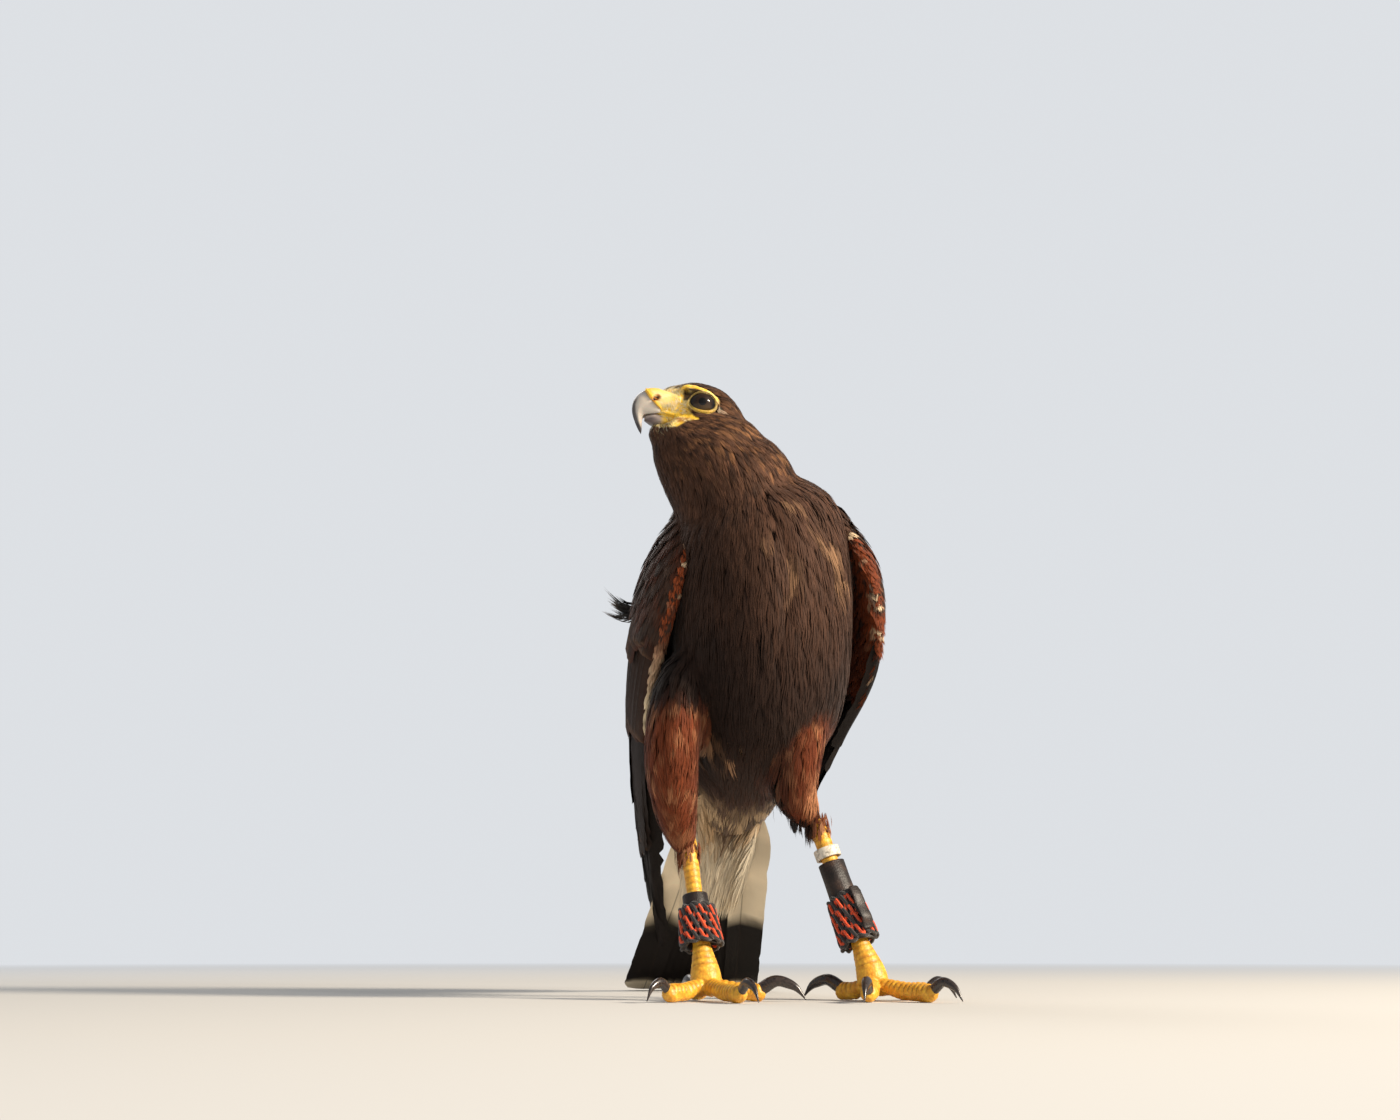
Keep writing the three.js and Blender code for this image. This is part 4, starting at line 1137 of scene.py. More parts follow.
def growVanes(name, shafts, ups, leftWidth, rightWidth, colourAt, chart, rng, stations=20, sweep=0.7, blunt=0.1,
              fray=0.05, camber=0.1, rib=0.45, wing=None, lines=None, notch=0.22):
    count, columns = len(shafts), len(vaneColumns)
    along = unit(np.gradient(shafts, axis=1))
    sides = unit(np.cross(along, ups))
    total = np.linalg.norm(np.diff(shafts, axis=1), axis=2).sum(1)
    a = 1 - (1 - np.linspace(0, 1, stations)) ** 1.6   # closer rows at the rounded tip
    swell = np.clip(a / 0.16, 0, 1) ** 0.55 * np.sqrt(np.clip(1 - (np.clip(a - 1 + blunt, 0, 1) / blunt) ** 2, 0, 1))
    x = vaneColumns[None, None, :]
    width = np.where(x < 0, leftWidth[:, None, None], rightWidth[:, None, None])
    edge = np.abs(x)
    torn = 1 - fray * rng.random((count, stations, 1)) * 2.2 * edge**3
    split = (rng.random((count, stations, 1)) < 0.05) * notch * edge**4
    b = x * width * swell[None, :, None] * (torn - split)
    share = a[None, :, None] + sweep * np.abs(b) / total[:, None, None] * np.clip(1 - a, 0.0, 1)[None, :, None] ** 0.35
    share = np.clip(share + rng.normal(0, 0.002, share.shape) * edge, 0, 1)
    flat = lambda v: v.reshape(count, -1)
    centre = between(shafts, flat(share)).reshape(count, stations, columns, 3)
    side = between(sides, flat(share)).reshape(centre.shape)
    up = between(ups, flat(share)).reshape(centre.shape)
    wave = 0.18 * np.sin(a * 37 + rng.random((count, 1)) * 6)[:, :, None] * edge**2
    rise = np.where(x == 0, rib * (1 - 0.8 * a)[None, :, None], 0) - camber * (b**2) / np.maximum(width, 1) + wave
    if wing:                                  # a vane on the wing bends with the wing
        t, s, height = (between(line[..., None], flat(share)).reshape(b.shape) for line in lines)
        _, _, acrossWay, _ = pathFrame(wing["path"], wing["side"], np.minimum(t, 1))
        turned = np.sign((side * acrossWay).sum(-1).mean())
        corners = onWing(wing, t, s, b * turned, height + np.where(x == 0, rib * (1 - 0.8 * a)[None, :, None], 0) + wave
                         - 0.5 * edge**2)
    else:
        corners = centre + side * b[..., None] + up * rise[..., None]
    index = np.arange(count * stations * columns).reshape(count, stations, columns)
    faces = np.stack([index[:, :-1, :-1], index[:, 1:, :-1], index[:, 1:, 1:], index[:, :-1, 1:]], -1).reshape(-1, 4)
    feather = np.repeat(np.arange(count), stations * columns)
    colour = colourAt(feather, np.broadcast_to(a[None, :, None], b.shape).reshape(-1),
                      np.broadcast_to(x, b.shape).reshape(-1), corners.reshape(-1, 3))
    colour = colour * (1 + rng.normal(0, 0.07, count))[feather][:, None]
    uv = np.stack([b.reshape(-1), (share * total[:, None, None]).reshape(-1)], -1)
    patch = chart[feather] + 0.0015 * np.stack([np.broadcast_to(x, b.shape).reshape(-1),
                                                np.broadcast_to(a[None, :, None], b.shape).reshape(-1) * 2 - 1], -1)
    return fillPiece(name, corners.reshape(-1, 3), faces, colour, uv, patch)


def wingSurface(wing, t, u, v, height):
    beyond = np.maximum(np.asarray(t, float) - 1, 0)
    centre, forward, across, outward = pathFrame(wing["path"], wing["side"], np.minimum(t, 1))
    centre = centre + forward * (beyond * 320)[..., None]
    away = outward * wing["out"]
    full = np.sqrt(np.maximum(1 - (1 - np.clip(t / 0.2, 0.02, 1)) ** 2, 0))
    wide, deep = runOf(wing["wide"], t) * full, runOf(wing["deep"], t) * full
    curl = np.where(u > 0, runOf(wing["curlNear"], t), runOf(wing["curlFar"], t)) * full
    normal = unit(across * (u * deep)[..., None] + away * (v * wide)[..., None]
                  + across * (2 * curl * u)[..., None] * np.abs(v)[..., None])
    point = centre + across * (wide * u)[..., None] + away * (deep * v - curl * u * u)[..., None]
    sunk = np.asarray(height) - 4.2 * ease(deep, 2.5, 9)          # the feathers make up the form's own depth
    return point + normal * sunk[..., None], normal


def onWing(wing, t, s, across, height):
    wide, deep = np.maximum(runOf(wing["wide"], t), 8), runOf(wing["deep"], t)
    curl = np.where(s > 0, runOf(wing["curlNear"], t), runOf(wing["curlFar"], t))
    place = s
    for _ in range(3):                        # how far the bent surface carries the vane from its shaft
        middle = np.clip((s + place) / 2, -0.97, 0.97)
        slope = (deep * middle / np.sqrt(1 - middle**2) + 2 * curl * middle) / wide
        place = s + across / wide / np.sqrt(1 + slope**2)
    inside = np.clip(place, -0.985, 0.985)
    extra = (place - inside) * wide
    point, normal = wingSurface(wing, t, inside, np.sqrt(1 - inside**2), height)
    _, _, acrossWay, outward = pathFrame(wing["path"], wing["side"], np.minimum(t, 1))
    return point + acrossWay * (extra * 0.3)[..., None] - outward * (wing["out"] * np.abs(extra) * 0.95)[..., None]


def wingShafts(wing, t0, t1, s0, s1, h0, h1, stations=9):
    share = np.linspace(0, 1, stations)[None, :]
    column = lambda v: np.asarray(v, float)[:, None]
    t = column(t0) + (column(t1) - column(t0)) * share
    s = np.clip(column(s0) + (column(s1) - column(s0)) * share, -0.97, 0.97)
    height = column(h0) + (column(h1) - column(h0)) * share
    return (*wingSurface(wing, t, s, np.sqrt(1 - s * s), height), (t, s, height))


def steps(count, *stops):
    return np.interp(np.linspace(0, 1, count), np.linspace(0, 1, len(stops)), stops)


def cellChart(start, count, columns=24):
    cell = np.arange(start, start + count)
    return np.stack([0.02 + 0.96 * (cell % columns) / columns, 0.02 + 0.96 * (cell // columns) / columns], -1)


# Rows of the folded wing, front edge to back: where the feathers start and end along the wing (t), across it
# (s, front edge 1), how high they lie, and their width
wingRows = {
    "primaries": {"count": 9, "t0": (0.3, 0.46), "t1": {"right": (0.84, 0.97, 1.04, 1.05, 1.0, 0.95, 0.9),
                                                         "left": (0.6, 0.7, 0.79, 0.85, 0.87, 0.85, 0.82)},
                  "s0": (0.93, 0.1), "s1": (0.88, 0.42, 0.1, -0.1, -0.3), "h0": {"right": (-4, -3), "left": (2.5, -3)}, "h1": {"right": (-1.5, 1.5), "left": (3, 1.5)},
                  "width": 13},
    "secondaries": {"count": 11, "t0": (0.3, 0.4), "t1": (0.78, 0.84, 0.8, 0.74), "s0": (0.6, -0.7),
                    "s1": (0.36, -0.9), "h0": (-3, -1.5), "h1": (1.0, 3.2), "width": 20},
    "tertials": {"count": 5, "t0": (0.26, 0.3), "t1": (0.72, 0.6), "s0": (-0.3, -0.85), "s1": (-0.5, -0.97),
                 "h0": (-1, 0), "h1": (3.2, 4.2), "width": 23},
    "greater": {"count": 15, "t0": (0.22, 0.28), "t1": {"right": (0.5, 0.56, 0.52), "left": (0.42, 0.54, 0.52)},
                "s0": {"right": (0.82, -0.9), "left": (0.6, -0.9)}, "s1": {"right": (0.74, -0.95), "left": (0.45, -0.95)},
                "h0": (-2, -1), "h1": (2.4, 3.4), "width": 15},
    "median": {"count": 18, "t0": (0.13, 0.16), "t1": {"right": (0.35, 0.4, 0.38), "left": (0.3, 0.38, 0.38)},
               "s0": {"right": (0.84, -0.92), "left": (0.7, -0.92)}, "s1": {"right": (0.78, -0.95), "left": (0.6, -0.95)},
               "h0": (-2, -1), "h1": (3.0, 3.8), "width": 12},
}
coverts = {   # the rufous front edge: along the wing, and round the edge in degrees
    "right": {"edge": (0.06, 0.46), "around": (-60, 10), "inner": 0.4, "pale": (0.25, 0.45)},
    "left": {"edge": (0.07, 0.36), "around": (-115, 30), "inner": 0.46, "pale": (0.6, 1.2)},
}


def dark(points, colour, size=9):
    return colour * (0.75 + 0.5 * latticeNoise(points, size, 11))[:, None]


def flightColour(kind):
    bronzing = {"primaries": 0.05, "secondaries": 0.3, "tertials": 0.6, "greater": 0.75, "median": 0.95}[kind]

    def shade(feather, a, x, points):
        colour = np.broadcast_to(mix(tone["flight"], tone["bronze"], bronzing), (len(a), 3))
        if kind in ("greater", "median"):
            colour = mix(colour, tone["shoulder"] * 0.5, ease(np.abs(x), 0.45, 0.95) * 0.5)
        if kind != "primaries":
            colour = mix(colour, linear((134, 100, 74)), ease(a, 0.94, 1) * 0.45)
        streak = latticeNoise(np.stack([x * 6, a * 1.5, feather * 3.0], -1), 1.0, 13)
        return dark(points, colour * (0.8 + 0.4 * streak)[:, None])
    return shade


def tuftRow(t0, angle, reach, wing, rise, stations=4):
    share = np.linspace(0, 1, stations)[None, :]
    t = t0[:, None] + reach[:, None] * share
    phi = angle[:, None] + 0 * share
    height = rise[:, None] * (0.15 + share**0.8)
    return wingSurface(wing, t, np.cos(phi), np.sin(phi), height)


def ringsOfTufts(places, spread, step, wing, rng):
    t0, angle = [], []
    low, high = (math.radians(v) for v in spread)
    for i, place in enumerate(places):
        reach = np.hypot(runOf(wing["wide"], place) * 0.7, runOf(wing["deep"], place) * 0.7)
        count = max(int(reach * (high - low) / step), 6)
        t0.extend(place + rng.normal(0, 0.004, count))
        angle.extend(low + (high - low) * (np.arange(count) + 0.5 * (i % 2)) / count + rng.normal(0, 0.02, count))
    return np.array(t0), np.array(angle)


for sideName, wing in wings.items():
    pieces = []
    cellStart = 0
    for kind, row in wingRows.items():
        n = row["count"]
        stops = {key: row[key][sideName] if isinstance(row[key], dict) else row[key]
                 for key in ("t0", "t1", "s0", "s1", "h0", "h1")}
        spans = [steps(n, *stops[key]) for key in stops]
        spans[1] = spans[1] + rng.normal(0, 0.006 if kind == "primaries" else 0.016, n)
        shaftsRow, upsRow, lines = wingShafts(wing, *spans)
        lead, trail = (0.36, 0.64) if kind == "primaries" else (0.44, 0.56)
        if wing["out"] < 0:
            lead, trail = trail, lead
        widthRow = row["width"] * (1 + rng.normal(0, 0.04, n))
        piece = growVanes(f"{kind}_{sideName}", shaftsRow, upsRow, widthRow * trail * 2, widthRow * lead * 2,
                          flightColour(kind), cellChart(cellStart, n), rng, 26 if n < 12 else 18, wing=wing, lines=lines)
        cellStart += n + 3
        pieces.append(piece)
    flights = joined(f"flightFeathers_{sideName}", pieces)
    settle(flights, flightPlume, "flight")

    # small coverts over the shoulder, and the marginal ones that wrap the front edge
    t0, angle = ringsOfTufts(np.arange(0.0, 0.27, 0.017), (12, 180), 7.5, wing, rng)
    size = 15 + 8 * ease(t0, 0.0, 0.2)
    shaftsRow, upsRow = tuftRow(t0, angle, size / 300, wing, 2.2 + 1.4 * ease(t0, 0.05, 0.22))
    chart = np.stack([0.02 + 0.45 * t0 / 0.3, 0.02 + 0.9 * (angle + 0.5) / 4], -1)

    def shoulderColour(roots, tips):
        speck = latticeNoise(roots, 6, 21)
        # on the right wing the rufous is dimmed as painted shade
        rufous = tone["shoulder"] * (0.5 if sideName == "right" else 0.9)
        colour = mix(tone["bronze"], rufous, ease(speck, 0.3, 0.75) * (0.6 if sideName == "right" else 1))
        return mix(colour, tone["breast"], ease(roots[:, 2], 262, 286))

    lesser = growTufts(f"lesser_{sideName}", shaftsRow, upsRow, size, size * 0.6, shaftsRow[:, 0], shoulderColour,
                       chart, rng, 11, 0.06, 0.75)
    own = coverts[sideName]
    t0, angle = ringsOfTufts(np.arange(own["edge"][0], own["inner"], 0.0125), own["around"], 5.2, wing, rng)
    keep = (t0 < own["edge"][1]) | (angle < -0.2)
    t0, angle = t0[keep], angle[keep]
    more, moreAngle = ringsOfTufts(np.arange(own["inner"], own["edge"][1], 0.0125), (-30, 10), 4.2, wing, rng)
    t0, angle = np.concatenate([t0, more]), np.concatenate([angle, moreAngle])
    size = 8.5 + 5 * ease(np.abs(angle), 0.3, 1.4)
    shaftsRow, upsRow = tuftRow(t0, angle, size / 300, wing, np.full(len(t0), 4.2))
    chart = np.stack([0.5 + 0.48 * t0 / 0.7, 0.02 + 0.9 * (angle + 2.2) / 4], -1)

    def edgeColour(roots, tips):
        speck, fleck = latticeNoise(roots, 4.5, 22), latticeNoise(roots, 3.2, 23)
        pale = ease(t0, *coverts[sideName]["pale"])
        # on the right wing the rufous of the front edge is brightened as painted highlight
        colour = mix(tone["shoulder"] * (1.6 if sideName == "right" else 1.0), tone["edgeCream"], np.clip(pale * (0.6 + speck), 0, 1))
        outer = 1 if sideName == "right" else ease(angle, -0.7, 0.1)
        colour = mix(colour, tone["edgeCream"], ease(fleck, 0.36, 0.2) * outer * 0.7)
        return mix(colour, tone["flight"], ease(fleck, 0.62, 0.8) * (0.4 if sideName == "right" else 0.8))

    marginal = growTufts(f"marginal_{sideName}", shaftsRow, upsRow, size, size * 0.6, shaftsRow[:, 0], edgeColour,
                         chart, rng, 7, 0.06, 0.6)
    settle(joined(f"coverts_{sideName}", [lesser, marginal]), smoothPlume, "rufous", f"wing_{sideName}")

# a loose feather tuft that turns up behind the right wing
looseTuft = {"root": (-62, 62, 244), "tip": (-86, 88, 251), "feathers": 11, "length": 30, "width": 8, "fan": (-8, 5)}
count = looseTuft["feathers"]
share = np.linspace(0, 1, 8)[None, :, None]
fan = np.linspace(*looseTuft["fan"], count)[:, None, None] * (0, 0, 1)
root = np.array(looseTuft["root"]) + rng.normal(0, 1.2, (count, 1, 3)) + fan * 0.35
tip = np.array(looseTuft["tip"]) + rng.normal(0, 2.2, (count, 1, 3)) + fan
shaftsRow = root + (tip - root) * share + np.array([0, 0, -8.0]) * (np.sin(share * math.pi) * (1 - 0.3 * share))
upsRow = unit(np.broadcast_to(np.array([0.5, 0.5, 0.75]), shaftsRow.shape) + rng.normal(0, 0.1, (count, 1, 3)))
chart = np.stack([np.linspace(0.1, 0.9, count), np.full(count, 0.5)], -1)
loose = growTufts("looseTuft", shaftsRow, upsRow, np.full(count, float(looseTuft["length"])),
                  np.full(count, float(looseTuft["width"])), shaftsRow[:, 0],
                  lambda roots, tips: np.broadcast_to(tone["flight"] * 1.5, (count, 3)), chart, rng, 11, 0.1, 0.6,
                  linear((176, 150, 128)))
settle(loose, softPlume, "plumage")

tail = {"root": (-9, 66, 124), "turn": -3, "drop": 33.7, "spread": 11, "length": 226, "feathers": 12, "width": 25}
drop, tailTurn = math.radians(tail["drop"]), math.radians(tail["turn"])


def tailPlace(share, r, lift):
    angle = share * math.radians(tail["spread"] / 2) + tailTurn
    heading = np.stack([np.sin(angle), math.cos(drop) * np.cos(angle), -math.sin(drop) * np.cos(angle)], -1)
    root = np.array(tail["root"]) + np.stack([share * 12, share * 0, -3.2 * share**2], -1)
    up = np.array([0, math.sin(drop), math.cos(drop)])
    point = root + heading * r[..., None] + up * lift[..., None]
    point[..., 2] = np.maximum(point[..., 2], 0.9 + 0.25 * np.maximum(lift, 0))
    return point, np.broadcast_to(up, point.shape).copy()


n = tail["feathers"]
share = np.linspace(-1, 1, n)
layer = 5.5 - np.abs(np.arange(n) - (n - 1) / 2)
distance = np.linspace(-8, 1, 12)[None, :] * 0
reach = tail["length"] * (1 - 0.035 * share**2)
r = np.linspace(0, 1, 12)[None, :] * (reach[:, None] - 0) + 0
shaftsRow, upsRow = tailPlace(np.repeat(share[:, None], 12, 1), r, (layer * 0.55 - 1.5)[:, None] * (r > -1))


def tailColour(feather, a, x, points):
    outerness = np.abs(share[feather])
    line = 0.35 + 0.2 * outerness + 0.04 * latticeNoise(points, 12, 31)
    colour = mix(tone["tailWhite"], tone["flight"], ease(a, line - 0.03, line + 0.05))
    colour = mix(colour, tone["tailWhite"], ease(a, 0.93, 0.95))
    return dark(points, colour, 14)


inner = np.where(share < 0, 0.36, 0.64)
widthRow = np.full(n, float(tail["width"]))
rectrices = growVanes("tailFeathers", shaftsRow, upsRow, widthRow * (1 - inner) * 1.0, widthRow * inner * 1.0,
                      tailColour, cellChart(0, n, 6), rng, 34, 0.5, 0.06, 0.015, notch=0.05)
settle(rectrices, flightPlume, "flight", "tail")

# long loose coverts under and over the tail
def tailCoverts(name, count, below, spanR, spanX, sizes, colourAt, slivers, rump=None):
    r0 = rng.uniform(*spanR, count)
    x = rng.uniform(-1, 1, count)
    size = np.interp(r0, spanR, sizes[:2]) * (1 + rng.normal(0, 0.08, count))
    share = np.linspace(0, 1, 5)[None, :]
    thickness = np.interp(r0, spanR, (10, 2.5))[:, None] * (1 - 0.75 * share) + 1.6
    spread = x[:, None] * spanX / 12 * (1 - 0.12 * share)
    rr = r0[:, None] + size[:, None] * share
    if rump:                                  # they lie on the rump and come down to the tail
        thickness = np.interp(rr, *rump) + 1.5 * share
    lift = (-1 if below else 1) * (thickness * np.sqrt(np.clip(1 - (x[:, None] * 0.75) ** 2, 0, 1)) + 1.5)
    point, up = tailPlace(spread * 0 + x[:, None] * spanX / 20, rr, lift)
    point[..., 0] = tail["root"][0] + math.sin(tailTurn) * rr + x[:, None] * spanX * (1 - 0.15 * share)
    up = up * (-1 if below else 1)
    up[..., 0] += x[:, None] * 0.7
    chart = np.stack([0.02 + 0.96 * (x + 1) / 2, 0.02 + 0.96 * (r0 - spanR[0]) / (spanR[1] - spanR[0])], -1)
    return growTufts(name, point, unit(up), size, np.full(count, sizes[2]), point[:, 0], colourAt, chart, rng, slivers,
                     0.14, 0.6)


def underTail(roots, tips):
    away = (roots[:, 1] - 66) / math.cos(drop)
    streak = ease(latticeNoise(roots * (1, 0.25, 0.25), 5, 41), 0.55, 0.8)
    bars = ease(latticeNoise(roots, 8, 42), 0.42, 0.6)
    across = np.abs(roots[:, 0] - tail["root"][0] - math.sin(tailTurn) * away)
    darkMiddle = ease(across, 13, 6) * ease(away, 30, 12)
    colour = mix(tone["vent"], tone["ventBar"], np.clip(bars * ease(away, 30, 10) * 0.7 + darkMiddle * 0.7, 0, 0.92))
    colour = mix(colour, tone["tailWhite"], ease(away, 4, 24) * (1 - darkMiddle))
    return mix(colour, tone["ventBar"], streak * ease(across, 9, 3) * 0.6 * ease(away, 10, 30))


under = tailCoverts("underTailCoverts", 420, True, (-18, 66), 20, (38, 62, 13), underTail, 11)
settle(under, softPlume, "plumage")
over = tailCoverts("overTailCoverts", 330, False, (-20, 62), 23, (34, 40, 14),
                   lambda roots, tips: mix(tone["back"], tone["tailWhite"], ease(roots[:, 1], 74, 92)), 11,
                   ((-20, 0, 20, 38, 55, 80, 110), (40, 33, 26, 19, 11, 4, 1.5)))
settle(over, softPlume, "plumage")

print("legs, claws and worn pieces")
legs = {
    "right": {"ankle": (-41, 15, 96), "foot": (-31, -4, 12), "turn": 14, "mirror": 1},
    "left": {"ankle": (35, 13, 104), "foot": (64, -6, 12), "turn": 42, "mirror": -1},
}
shankSizes = {"wide": [5.4, 4.6, 4.8, 8.6, 8.6], "deep": [6, 5.1, 5.2, 8.4, 8]}
toes = {
    "hind": {"turn": 178, "length": 25, "claw": 27, "radius": 3.9},
    "inner": {"turn": 58, "length": 34, "claw": 25, "radius": 3.7},
    "middle": {"turn": 6, "length": 47, "claw": 20, "radius": 3.1},
    "outer": {"turn": -58, "length": 36, "claw": 17, "radius": 2.8},
}
legLook = {"voxel": 0.62, "smoothing": 3, "foldStep": 3.4, "foldDepth": 0.75, "scuteStep": 3.6, "scuteDepth": 0.4}


def toeWay(leg, toe):
    angle = math.radians(leg["turn"] + toe["turn"] * leg["mirror"])
    return np.array([math.sin(angle), -math.cos(angle), 0])


def onFoot(leg, way, r, z):
    return [leg["foot"][0] + way[0] * r, leg["foot"][1] + way[1] * r, z]


def shankPath(leg):
    ankle, foot = np.array(leg["ankle"], float), np.array(leg["foot"], float)
    run = [ankle + (foot - ankle) * share for share in (0, 0.35, 0.75, 0.97)]
    return [*run, foot + (0, -2, -5)]


def alongPath(points, path, samples=60):
    place = np.linspace(0, 1, samples)
    spine = curveAt(path, place)
    run = np.concatenate([[0], np.cumsum(np.linalg.norm(np.diff(spine, axis=0), axis=1))])
    gaps = ((points[:, None] - spine[None]) ** 2).sum(-1)
    nearest = gaps.argmin(1)
    tangent = unit(np.gradient(spine, axis=0))[nearest]
    return run[nearest] + ((points - spine[nearest]) * tangent).sum(1), np.sqrt(gaps.min(1)), points - spine[nearest]


def legMaterial():
    material, tree, shader = nodesOf("legScales")
    setShader(shader, Specular_IOR_Level=0.5, Subsurface_Weight=0.08, Subsurface_Scale=0.002, Coat_Weight=0.1,
              Coat_Roughness=0.4)
    place = tree.nodes.new("ShaderNodeTexCoord").outputs["Object"]
    crease = add(tree, "ShaderNodeAttribute", attribute_name="crease").outputs["Fac"]
    cells = add(tree, "ShaderNodeTexVoronoi", Scale=620.0)
    grime = add(tree, "ShaderNodeTexNoise", Scale=260.0, Detail=4.0)
    fine = add(tree, "ShaderNodeTexNoise", Scale=2200.0, Detail=2.0)
    for node in (cells, grime, fine):
        tree.links.new(place, node.inputs["Vector"])
    yellow = ramp(tree, grime.outputs[0], (0.3, tuple(linear((216, 146, 30)))), (0.62, tuple(linear((250, 196, 62)))))
    worn = blendColours(tree, maths(tree, "MULTIPLY", cells.outputs[0], 0.5), yellow, linear((178, 104, 22)))
    # painted shade: the leg is darker in the creases between the scales
    deep = blendColours(tree, maths(tree, "MULTIPLY", crease, 0.75), worn, linear((120, 70, 22)))
    tree.links.new(deep, shader.inputs["Base Color"])
    tree.links.new(maths(tree, "MULTIPLY_ADD", fine.outputs[0], 0.3, 0.32), shader.inputs["Roughness"])
    bump = add(tree, "ShaderNodeBump", Strength=0.55, Distance=0.0004)
    height = maths(tree, "MULTIPLY_ADD", cells.outputs[0], -0.8, maths(tree, "MULTIPLY", fine.outputs[0], 0.3))
    tree.links.new(height, bump.inputs["Height"])
    tree.links.new(bump.outputs[0], shader.inputs["Normal"])
    return material


def clawMaterial():
    material, tree, shader = nodesOf("clawHorn")
    setShader(shader, Coat_Weight=0.5, Coat_Roughness=0.18, Specular_IOR_Level=0.5)
    place = tree.nodes.new("ShaderNodeTexCoord").outputs["Object"]
    grain = add(tree, "ShaderNodeTexNoise", Scale=400.0, Detail=4.0, Distortion=1.5)
    tree.links.new(place, grain.inputs["Vector"])
    colour = ramp(tree, grain.outputs[0], (0.3, (0.008, 0.006, 0.006)), (0.7, (0.05, 0.034, 0.028)))
    tree.links.new(colour, shader.inputs["Base Color"])
    tree.links.new(maths(tree, "MULTIPLY_ADD", grain.outputs[0], 0.3, 0.16), shader.inputs["Roughness"])
    bump = add(tree, "ShaderNodeBump", Strength=0.25, Distance=0.0003)
    tree.links.new(grain.outputs[0], bump.inputs["Height"])
    tree.links.new(bump.outputs[0], shader.inputs["Normal"])
    return material


legSkin, clawHorn = legMaterial(), clawMaterial()
for sideName, leg in legs.items():
    shank = {"path": shankPath(leg), **shankSizes, "ends": (0.08, 0.12)}
    parts = [limbPiece(f"shank{sideName}", shank, 28, 50)]
    toePaths = {}
    for toeName, toe in toes.items():
        way = toeWay(leg, toe)
        n, radius = toe["length"], 4.9
        path = [onFoot(leg, way, 3, 8), onFoot(leg, way, n * 0.35, 6.8), onFoot(leg, way, n * 0.7, 4.9),
                onFoot(leg, way, n, 5.5)]
        toePaths[toeName] = path
        side = (-way[1], way[0], 0)
        form = {"path": path, "wide": [radius * k for k in (1.15, 0.98, 0.92, 1.02, 0.8)],
                "deep": [radius * k for k in (1.1, 0.95, 0.95, 1.08, 0.85)], "side": side, "ends": (0.08, 0.14)}
        parts.append(limbPiece(f"toe{toeName}", form, 24, 30))
        clawBase = n - 2
        reach, r = toe["claw"], toe["radius"]
        clawPath = [onFoot(leg, way, clawBase - 1, 6.0), onFoot(leg, way, clawBase + reach * 0.32, 10.6),
                    onFoot(leg, way, clawBase + reach * 0.72, 8.4), onFoot(leg, way, clawBase + reach, 1.0)]
        claw = limbPiece(f"claw_{toeName}_{sideName}_look", {
            "path": clawPath, "wide": [r * 0.78, r * 0.78, r * 0.5, 0.25], "deep": [r * 1.1, r, r * 0.62, 0.3],
            "side": side, "ends": (0.04, 0.02)}, 20, 40)
        points = pointsOf(claw)                       # a claw is flatter below
        run, _, gap = alongPath(points, clawPath)
        points[:, 2] -= np.minimum(gap[:, 2], 0) * 0.3 * ease(run, reach * 0.75, reach * 0.45)
        points[:, 2] = np.maximum(points[:, 2], 0.35)
        movePoints(claw, points)
        settle(claw, clawHorn, "claw", f"claw_{toeName}_{sideName}")
    limb = joined(f"legSkin_{sideName}", parts)
    voxelShell(limb, legLook["voxel"], legLook["smoothing"])
    points, normals = pointsOf(limb), normalsOf(limb)
    push, crease = np.zeros(len(points)), np.zeros(len(points))
    gapTo = []
    for toeName, path in toePaths.items():
        run, away, gap = alongPath(points, path)
        gapTo.append(away)
    run0, away0, gap0 = alongPath(points, shank["path"])
    gapTo = np.array([*gapTo, np.where(run0 < 78, away0, away0 + 4)])
    owner = gapTo.argmin(0)
    top = ease(normals[:, 2], -0.25, 0.35)
    for i, (toeName, path) in enumerate(toePaths.items()):
        run, away, gap = alongPath(points, path)
        mine = owner == i
        n = toes[toeName]["length"]
        phase = run / legLook["foldStep"] + 0.25 * latticeNoise(points, 5, 3)
        fold = np.abs(np.sin(phase * math.pi)) ** 0.5
        inside = ease(run, 3, 8) * ease(run, n + 4, n - 3)
        push += mine * inside * top * (fold - 0.75) * legLook["foldDepth"]
        crease += mine * inside * top * (1 - fold) * 1.1
        knuckles = 0.8 * np.cos((run / n * 2.2 + 0.1) * 2 * math.pi)
        push += mine * inside * (1 - top) * (knuckles * 0.7 - 0.1)
        push += mine * (1 - top) * 0.25 * (latticeNoise(points, 1.1, 5) - 0.5) * 2
    mine = owner == len(toePaths)
    front = ease((normals * (0.1, -1, 0)).sum(1), -0.1, 0.5)
    phase = run0 / legLook["scuteStep"]
    scute = np.abs(np.sin(phase * math.pi)) ** 0.4
    push += mine * front * ease(run0, 0, 6) * (scute - 0.8) * legLook["scuteDepth"]
    crease += mine * front * (1 - scute) * 0.9
    push += mine * (1 - front) * 0.22 * (latticeNoise(points, 1.5, 6) - 0.5) * 2
    points = points + normals * push[:, None]
    points[:, 2] = np.maximum(points[:, 2], 0.0)
    movePoints(limb, points)
    # crease marks where the leg's colour is darkened as painted shade
    mark(limb, "crease", np.clip(crease, 0, 1))
    settle(limb, legSkin, "bare_skin", f"leg_{sideName}", *[f"toe_{toeName}_{sideName}" for toeName in toes])
    print("leg", sideName, len(limb.data.polygons) * 2)

print("anklets, lacing, ring and strap")
worn = {   # shares of the way from ankle to foot, and half widths at top and bottom
    "right": {"cuff": (0.44, 0.78, 7.0, 10.2), "lacing": (0.53, 0.79, 9.3, 11.6), "turn": 0.3},
    "left": {"cuff": (0.29, 0.78, 7.2, 10.0), "lacing": (0.5, 0.79, 9.3, 10.9), "turn": -0.5, "ring": (0.2, 0.262, 7.6)},
}


